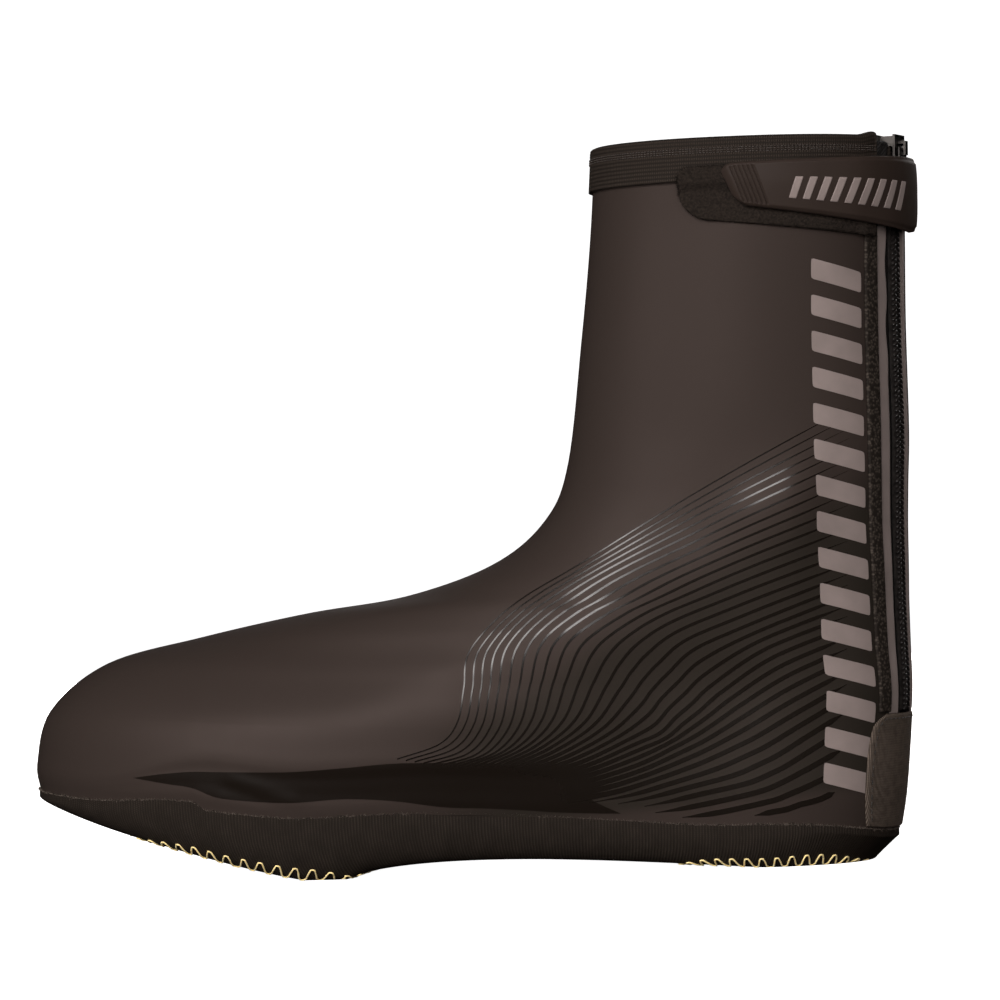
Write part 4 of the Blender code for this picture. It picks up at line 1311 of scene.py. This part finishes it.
def round_bead(size):
    """Points and faces of a small ball drawn out to three half sizes."""
    columns, rows = TOOTH_ROUND
    turn = np.linspace(0, 2 * math.pi, columns, endpoint=False)
    rise = np.linspace(-math.pi / 2, math.pi / 2, rows)[:, None]
    ring = np.cos(rise)
    points = np.stack(
        [np.sin(rise) * np.ones(columns), ring * np.cos(turn), ring * np.sin(turn)], axis=-1
    )
    return (points * size).reshape(-1, 3), grid_faces(rows, columns, around=True)


def make_coil():
    top = float(level_at(SLIDER_HEIGHT - SLIDER_TALL / 2 - GAP, zip_run(COLLAR)))
    level = np.linspace(ZIP_LOW, top, 400)
    run = way_along(form(level, angle_at(level, zip_run(level))))
    beads, faces = round_bead(TOOTH)
    parts = []
    for side, _ in SIDES:
        for place in np.arange(TOOTH_ENDS[0], run[-1] - TOOTH_ENDS[1], TOOTH_PITCH):
            at = np.interp(place + (0.5 + 0.5 * side) * TOOTH_PITCH / 2, run, level)
            angle = float(angle_at(at, zip_run(at) + side * TOOTH_AWAY))
            out = normal_at(np.array(at), np.array(angle))
            up = unit(form(at + 2 * NEAR_LEVEL, angle) - form(at - 2 * NEAR_LEVEL, angle))
            across = np.cross(up, out) * side
            lean = up * math.sin(TOOTH_LEAN) + across * math.cos(TOOTH_LEAN)
            axes = np.array([lean, np.cross(out, lean), out])
            parts.append((beads @ axes + form(at, angle) + out * TOOTH_OUT, faces))
    core = zip_grid(CORE_STEPS, (ZIP_LOW, top), -CHAIN_HALF, CHAIN_HALF)
    parts.append(pad(*core, CHAIN_DEPTH[0], CHAIN_DEPTH[1] - CHAIN_DEPTH[0], (0.5, 0.01))[:2])
    small_parts("coil_teeth", COIL, parts, "zip_coil", "zip_chain", weld=True)


# A flap behind the zip's lower end, where its tapes begin, and their folded ends by the slider
FLAP_LEVELS = (TAPE_LOW, ZIP_LOW + 0.5)
FLAP_HALF = 0.0052
FLAP_THICK = 0.0006
FLAP_LIFT = TAPE_LIFT - GAP - FLAP_THICK
FLAP_STEPS = (9, 30)
TAPE_END_LOW = 0.0135
TAPE_END_FROM = 0.0050
TAPE_END_TO = 0.0121
TAPE_END_LIFT = -2.2 * MM
TAPE_END_THICK = 3.3 * MM
TAPE_END_CRUMPLE = 0.45 * MM
TAPE_END_STEPS = (16, 24)


def make_flap():
    grid = zip_grid(FLAP_STEPS, FLAP_LEVELS, -FLAP_HALF, FLAP_HALF)
    pad_piece("zip_flap", ZIP_CLOTH, (*grid, FLAP_LIFT, FLAP_THICK, (0.1, 0.1)), "zip_tape")


def tape_end(side, name):
    share = shares(TAPE_END_STEPS[0])[:, None]
    up = shares(TAPE_END_STEPS[1])
    low = float(level_at(HEIGHT - TAPE_END_LOW, zip_run(COLLAR)))
    grid = zip_grid(TAPE_END_STEPS, (low, COLLAR), TAPE_END_FROM, TAPE_END_TO, side)
    crumple = np.sin(9 * share + 5 * up * side + 1) * np.sin(2.2 + 7 * up + 3 * share)
    relief = TAPE_END_CRUMPLE * crumple[::side]
    shape = (*grid, TAPE_END_LIFT, TAPE_END_THICK, (0.3, 0.2), relief)
    pad_piece(f"tape_end_{name}", ZIP_CLOTH, shape, "zip_tape")


make_coil()
make_flap()
for side, name in SIDES:
    tape_end(side, name)

# Loop patch with its pile, and the strap that closes over it
LOOP_FROM = 0.0228
LOOP_TO = 0.0885
LOOP_TOP = 0.2272
LOOP_LOW_BACK = 0.2026
LOOP_LOW_FRONT = 0.2108
LOOP_CORNER = 0.0100
LOOP_CORNER_RISE = 0.0095
LOOP_TOP_CORNER = 0.0042
LOOP_THICK = 0.0012
LOOP_STEPS = (26, 70)
LOOP_TUFTS = 0.12 * MM
OVER_BAND = (BAND_LEVEL - 0.13, BAND_LEVEL - 0.02)
OVER_EDGE_FROM = ZIP_RUN_COLLAR + EDGE_TO
PILE_BEND = 0.004
PILE_HAIRS = 6400
PILE_HALF = 0.06 * MM
PILE_LONG = (0.5, 1.5)
PILE_EDGE = 0.5
PILE_TIP = 0.1
PILE_TIP_RUN = LOOP_TO - 0.3 * MM
PILE_ROOT = LOOP_THICK * 0.6
PILE_SPREAD = 0.7


def over_edge_tape(run, bend):
    return (GAP + EDGE_THICK) * (1 - eased(run, OVER_EDGE_FROM, OVER_EDGE_FROM + bend))


def loop_lift(level, run):
    return GAP + BAND_STEP * eased(level, *OVER_BAND) + over_edge_tape(run, PILE_BEND)


def round_corner(run, wide, tall):
    """How far a corner of the loop patch takes its border in."""
    corner = np.clip((run - LOOP_TO + wide) / wide, 0, 1)
    return tall * (1 - np.sqrt(1 - corner**2))


def loop_edges(run):
    share = (run - LOOP_FROM) / (LOOP_TO - LOOP_FROM)
    low = between(share, LOOP_LOW_BACK, LOOP_LOW_FRONT)
    rise = round_corner(run, LOOP_CORNER, LOOP_CORNER_RISE)
    return low + rise, LOOP_TOP - round_corner(run, LOOP_TOP_CORNER, LOOP_TOP_CORNER)


def hairs(roots, ways, lengths, half):
    """Fine fibres, each a narrow blade from its root."""
    aside = unit(np.cross(ways, random.normal(size=ways.shape))) * half
    tips = roots + ways * lengths[:, None]
    points = np.stack([roots - aside, roots + aside, tips], axis=1).reshape(-1, 3)
    return points, [(first, first + 1, first + 2) for first in range(0, len(points), 3)]


def make_loop():
    run = between(shares(LOOP_STEPS[1]), LOOP_FROM, LOOP_TO) * np.ones(LOOP_STEPS)
    low, high = loop_edges(run)
    level = level_at(between(shares(LOOP_STEPS[0])[:, None], low, high), run)
    tufts = random.normal(size=LOOP_STEPS) * LOOP_TUFTS
    shape = (level, run, loop_lift(level, run), LOOP_THICK, (0.06, 0.03), tufts)
    pad_piece("pile_patch", PILE, shape, "pile", "loop_patch")


def make_pile():
    run = random.uniform(LOOP_FROM, LOOP_TO, PILE_HAIRS)
    share = random.uniform(0, 1, PILE_HAIRS)
    at_edge = random.uniform(0, 1, PILE_HAIRS) < PILE_EDGE
    at_tip = at_edge & (random.uniform(0, 1, PILE_HAIRS) < PILE_TIP)
    share = np.where(at_edge & ~at_tip, np.round(share) * 0.97 + 0.015, share)
    run = np.where(at_tip, PILE_TIP_RUN, run)
    low, high = loop_edges(run)
    level = level_at(between(share, low, high), run)
    angle = angle_at(level, run)
    out = normal_at(level, angle)
    roots = form(level, angle) + out * (loop_lift(level, run) + PILE_ROOT)[:, None]
    ways = unit(out * PILE_SPREAD + random.normal(size=roots.shape) * PILE_SPREAD)
    lengths = random.uniform(*PILE_LONG, PILE_HAIRS) * MM
    small_parts("pile_hairs", PILE, [hairs(roots, ways, lengths, PILE_HALF)], "pile")


STRAP_TIP = 0.0752
STRAP_BASE = -0.0480
STRAP_THICK = 0.0018
STRAP_TOP_TIP = 0.2275
STRAP_TOP_BACK = 0.2288
STRAP_LOW_TIP = 0.2150
STRAP_LOW_BACK = 0.2042
STRAP_BASE_HALF = 0.0085
STRAP_STIFF = 0.6
STRAP_BEND = 0.016
STRAP_SLANT = 0.0062
STRAP_ROUND_FROM = 0.90
STRAP_ROUND = 0.45
STRAP_CLIMB = (LOOP_FROM - 0.012, LOOP_FROM - 0.004)
STRAP_SEWN = (STRAP_BASE + 0.020, STRAP_BASE + 0.030)
STRAP_OVER_TAB = 0.0050
STRAP_BULGE_HALF = 0.0045
STRAP_BULGE_END = 0.0205
STRAP_COLUMNS = (220, 140)
STRAP_ROWS = 44
GROOVES = 6
GROOVE_FIRST = 0.0712
GROOVE_PITCH = 1.35 * MM
GROOVE_FAN = 0.45 * MM
GROOVE_HALF = 0.40 * MM
GROOVE_DEPTH = 0.55 * MM
GROOVE_ENDS = (0.82, 0.88)
GRIP_FROM = 0.0580
STRAP_RIM = (0.86, 0.91)
STRAP_RIM_STEP = 0.40 * MM
STRAP_CROWN = 0.7 * MM
STRAP_THINNED = 0.5 * MM


def strap_share(run):
    """How far a run lies from the zip to the strap's tip (1) or to its sewn end (-1)."""
    off = run - ZIP_RUN_COLLAR
    return np.where(off > 0, off / (STRAP_TIP - ZIP_RUN_COLLAR), off / (ZIP_RUN_COLLAR - STRAP_BASE))


def strap_middle_half(run):
    share = strap_share(run)
    top = between(np.abs(share), STRAP_TOP_BACK, STRAP_TOP_TIP)
    to_tip = between(np.abs(share), STRAP_LOW_BACK, STRAP_LOW_TIP)
    to_base = between(-share, STRAP_LOW_BACK, STRAP_TOP_TIP - 2 * STRAP_BASE_HALF)
    low = np.where(share < 0, to_base, to_tip)
    return (top + low) / 2, (top - low) / 2


def strap_lift(run, level):
    on_upper = GAP + BAND_STEP * eased(level, BAND_LEVEL - STRAP_STIFF, BAND_LEVEL)
    on_loop = on_upper + LOOP_THICK + 2 * GAP + over_edge_tape(run, STRAP_BEND)
    rest = between(eased(run, *STRAP_CLIMB), on_upper, on_loop)
    rest = np.maximum(rest, (2 * GAP + EDGE_THICK) * eased(run, *STRAP_SEWN))
    bulge = 1 - eased(np.abs(run - ZIP_RUN_COLLAR), STRAP_BULGE_HALF, STRAP_BULGE_END)
    return between(bulge, rest, np.maximum(STRAP_OVER_TAB, rest))


def strap_place(share, run):
    """The level, the run and the lift of a place on the strap's underside."""
    off = strap_share(run)
    end = np.clip((np.abs(off) - STRAP_ROUND_FROM) / (1 - STRAP_ROUND_FROM), 0, 1)
    share = share * (1 - STRAP_ROUND * end**3)
    run = run + STRAP_SLANT * (share - 1) / 2 * np.maximum(off, 0.0) ** 3
    middle, half = strap_middle_half(run)
    level = level_at(middle + share * half, run)
    return level, run, strap_lift(run, level)


def strap_relief(share, run):
    """Grooves by the tip, a lower rim all round, and a thinner crown over the pull tab."""
    relief = -STRAP_RIM_STEP * eased(np.abs(share), *STRAP_RIM)
    over_tab = bell(run - ZIP_RUN_COLLAR, STRAP_BULGE_END)
    relief = relief - (STRAP_THINNED + STRAP_CROWN * np.abs(share) ** 3) * over_tab
    kept = 1 - eased(np.abs(share), *GROOVE_ENDS)
    for number in range(GROOVES):
        middle = GROOVE_FIRST - number * (GROOVE_PITCH + GROOVE_FAN * (1 - share) / 2)
        relief = relief - GROOVE_DEPTH * bell(run - middle, GROOVE_HALF) * kept
    return relief


def make_strap():
    to_grip = np.linspace(STRAP_BASE, GRIP_FROM, STRAP_COLUMNS[0], endpoint=False)
    run = np.concatenate([to_grip, np.linspace(GRIP_FROM, STRAP_TIP, STRAP_COLUMNS[1])])
    share = steps(STRAP_ROWS)[:, None] * np.ones(run.shape)
    run = run * np.ones(share.shape)
    shape = (*strap_place(share, run), STRAP_THICK, (0.10, 0.04), strap_relief(share, run))
    pad_piece("rubber_strap", RUBBER, shape, "moulded_rubber", "closure_strap")


make_loop()
make_pile()
make_strap()

# A row of plain slanted bars on the strap
STRAP_BARS = 9
STRAP_BAR_FIRST = 0.0520
STRAP_BAR_PITCH = 4.5 * MM
STRAP_BAR_WIDE = 2.5 * MM
STRAP_BAR_LEAN = 1.5 * MM
STRAP_BAR_TALL = 0.42
STRAP_BAR_AT = -0.10
STRAP_BAR_THICK = 0.12 * MM
STRAP_BAR_SUNK = 0.02 * MM


def strap_bar(number):
    up, length = bar_grid(11, 9)
    share = up * STRAP_BAR_TALL + STRAP_BAR_AT
    middle = STRAP_BAR_FIRST - number * STRAP_BAR_PITCH
    run = middle - length * STRAP_BAR_WIDE / 2 - up * STRAP_BAR_LEAN
    share, run = share[:, ::-1], run[:, ::-1]
    level, place, lift = strap_place(share, run)
    on_strap = lift + STRAP_THICK + strap_relief(share, run) - STRAP_BAR_SUNK
    return pad(level, place, on_strap, STRAP_BAR_THICK, (0.1, 0.1))[:2]


strap_parts = [strap_bar(number) for number in range(STRAP_BARS)]
small_parts("strap_bars", REFLECTIVE, strap_parts, "reflective_film", weld=True)

# Slider and pull tab keep their solids, with edges rounded off
for name, width in (("zip_slider", 0.35 * MM), ("zip_pull_tab", 0.2 * MM)):
    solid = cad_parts[name]
    soft = solid.modifiers.new("soft", "BEVEL")
    soft.width = width
    soft.segments = 3
    soft.limit_method = "ANGLE"
    for place in solid.material_slots:
        place.material = METAL.made

# Fibres along the rand's border
RAND_HAIRS = 5200
RAND_HAIR_HALF = 0.05 * MM
RAND_HAIR_LONG = (0.4, 1.3)
RAND_HAIR_ROOT = RAND_OVER - 0.2 * MM
RAND_HAIR_OUT = 0.25
RAND_HAIR_UP = 0.7
RAND_HAIR_SPREAD = 0.55


def make_fibres():
    angle = random.uniform(0, 2 * math.pi, RAND_HAIRS)
    roots = sole_place(np.zeros(RAND_HAIRS), angle) + UP * RAND_HAIR_ROOT
    ways = normal_at(np.zeros(RAND_HAIRS), angle) * RAND_HAIR_OUT + UP * RAND_HAIR_UP
    ways = unit(ways + random.normal(size=roots.shape) * RAND_HAIR_SPREAD)
    lengths = random.uniform(*RAND_HAIR_LONG, RAND_HAIRS) * MM
    small_parts("rand_fibres", FIBRE, [hairs(roots, ways, lengths, RAND_HAIR_HALF)], "woven_base")


make_fibres()

# Camera, light and stage, at the photograph's angle
CAMERA_TURN = math.radians(13)
CAMERA_ROLL = math.radians(-2.28)
CAMERA_AWAY = 1.400
CAMERA_HEIGHT = 0.115
SENSOR = 36.0
FOCAL_PIXELS = 4160.0
PICTURE = 1000
OPTIC_AXIS = (455.05, 524.74)


def make_camera():
    data = bpy.data.cameras.new("camera")
    data.sensor_width = SENSOR
    data.lens = SENSOR * FOCAL_PIXELS / PICTURE
    data.shift_x = 0.5 - OPTIC_AXIS[0] / PICTURE
    data.shift_y = OPTIC_AXIS[1] / PICTURE - 0.5
    made = bpy.data.objects.new("camera", data)
    bpy.context.scene.collection.objects.link(made)
    back = np.array([math.sin(CAMERA_TURN), -math.cos(CAMERA_TURN), 0.0])
    look = Matrix.Rotation(CAMERA_TURN, 4, "Z") @ Matrix.Rotation(math.pi / 2, 4, "X")
    place = Matrix.Translation(back * CAMERA_AWAY + UP * CAMERA_HEIGHT + TO_ORIGIN)
    made.matrix_world = place @ look @ Matrix.Rotation(CAMERA_ROLL, 4, "Z")
    bpy.context.scene.camera = made


Lamp = namedtuple("Lamp", "name place aim wide tall power shines")
LAMPS = (
    Lamp("key", (-0.60, -1.75, 0.42), (-0.02, 0, 0.10), 1.5, 1.0, 21.0, False),
    Lamp("strip", (-0.43, -1.60, 1.02), (0.03, 0, 0.08), 1.90, 0.48, 27.0, True),
    Lamp("side", (-1.15, -1.35, 0.30), (-0.02, 0, 0.08), 0.8, 0.8, 4.6, False),
    Lamp("fill", (1.15, -1.45, 0.45), (0.05, 0, 0.10), 1.0, 1.0, 10.5, False),
    Lamp("top", (0.00, -0.40, 1.70), (0, 0, 0.08), 1.6, 1.0, 2.0, False),
    Lamp("back", (0.20, 1.50, 0.90), (0, 0, 0.10), 1.2, 0.9, 8.0, True),
    Lamp("rear", (-0.20, 1.85, 0.32), (0, 0, 0.10), 1.6, 1.0, 26.0, False),
    Lamp("heel", (1.30, 1.35, 0.45), (0.10, 0, 0.10), 1.0, 1.0, 10.0, False),
)
LAMP_COLOUR = (1.0, 0.955, 0.935)


def make_lamps():
    for lamp in LAMPS:
        data = bpy.data.lights.new(lamp.name, "AREA")
        data.shape = "RECTANGLE"
        data.size = lamp.wide
        data.size_y = lamp.tall
        data.energy = lamp.power
        data.color = LAMP_COLOUR
        made = bpy.data.objects.new(lamp.name, data)
        made.visible_glossy = lamp.shines
        made.location = lamp.place
        way = Vector(lamp.aim) - Vector(lamp.place)
        made.rotation_euler = way.to_track_quat("-Z", "Y").to_euler()
        bpy.context.scene.collection.objects.link(made)


STAGE_HUB = 0.02
STAGE_FLAT = 3.0
STAGE_TURN = 0.8
STAGE_WALL = 2.0
STAGE_WHITE = 1.02
STAGE_SIDES = 96


def make_stage():
    """A wide white bowl, seen by the camera alone, so that it lights nothing from below."""
    turn = np.linspace(0, math.pi / 2, 12)
    bend = STAGE_FLAT + STAGE_TURN * np.sin(turn)
    reach = np.concatenate([[STAGE_HUB], bend, bend[-1:]])[:, None]
    rise = np.concatenate([[0.0], STAGE_TURN * (1 - np.cos(turn)), [STAGE_TURN + STAGE_WALL]])[:, None]
    around = np.linspace(0, 2 * math.pi, STAGE_SIDES, endpoint=False)
    points = np.stack(
        [reach * np.cos(around), reach * np.sin(around), rise * np.ones(STAGE_SIDES)], axis=-1
    )
    faces = grid_faces(len(reach), STAGE_SIDES, around=True)
    faces.append(tuple(range(STAGE_SIDES)))
    white = (1.0, 1.0, 1.0, 1.0)
    coat = Coat("stage_white", (0.9, 0.9, 0.9), 0.9, Emission_Color=white, Emission_Strength=STAGE_WHITE)
    floor = piece("stage", points.reshape(-1, 3) - TO_ORIGIN, faces, [coat])
    floor.visible_diffuse = False
    floor.visible_glossy = False
    floor.visible_shadow = False


make_camera()
make_lamps()
make_stage()
world = bpy.data.worlds.new("dark")
world.use_nodes = True
world.node_tree.nodes["Background"].inputs["Color"].default_value = (0.0, 0.0, 0.0, 1.0)
bpy.context.scene.world = world
bpy.context.scene.view_settings.view_transform = "Standard"
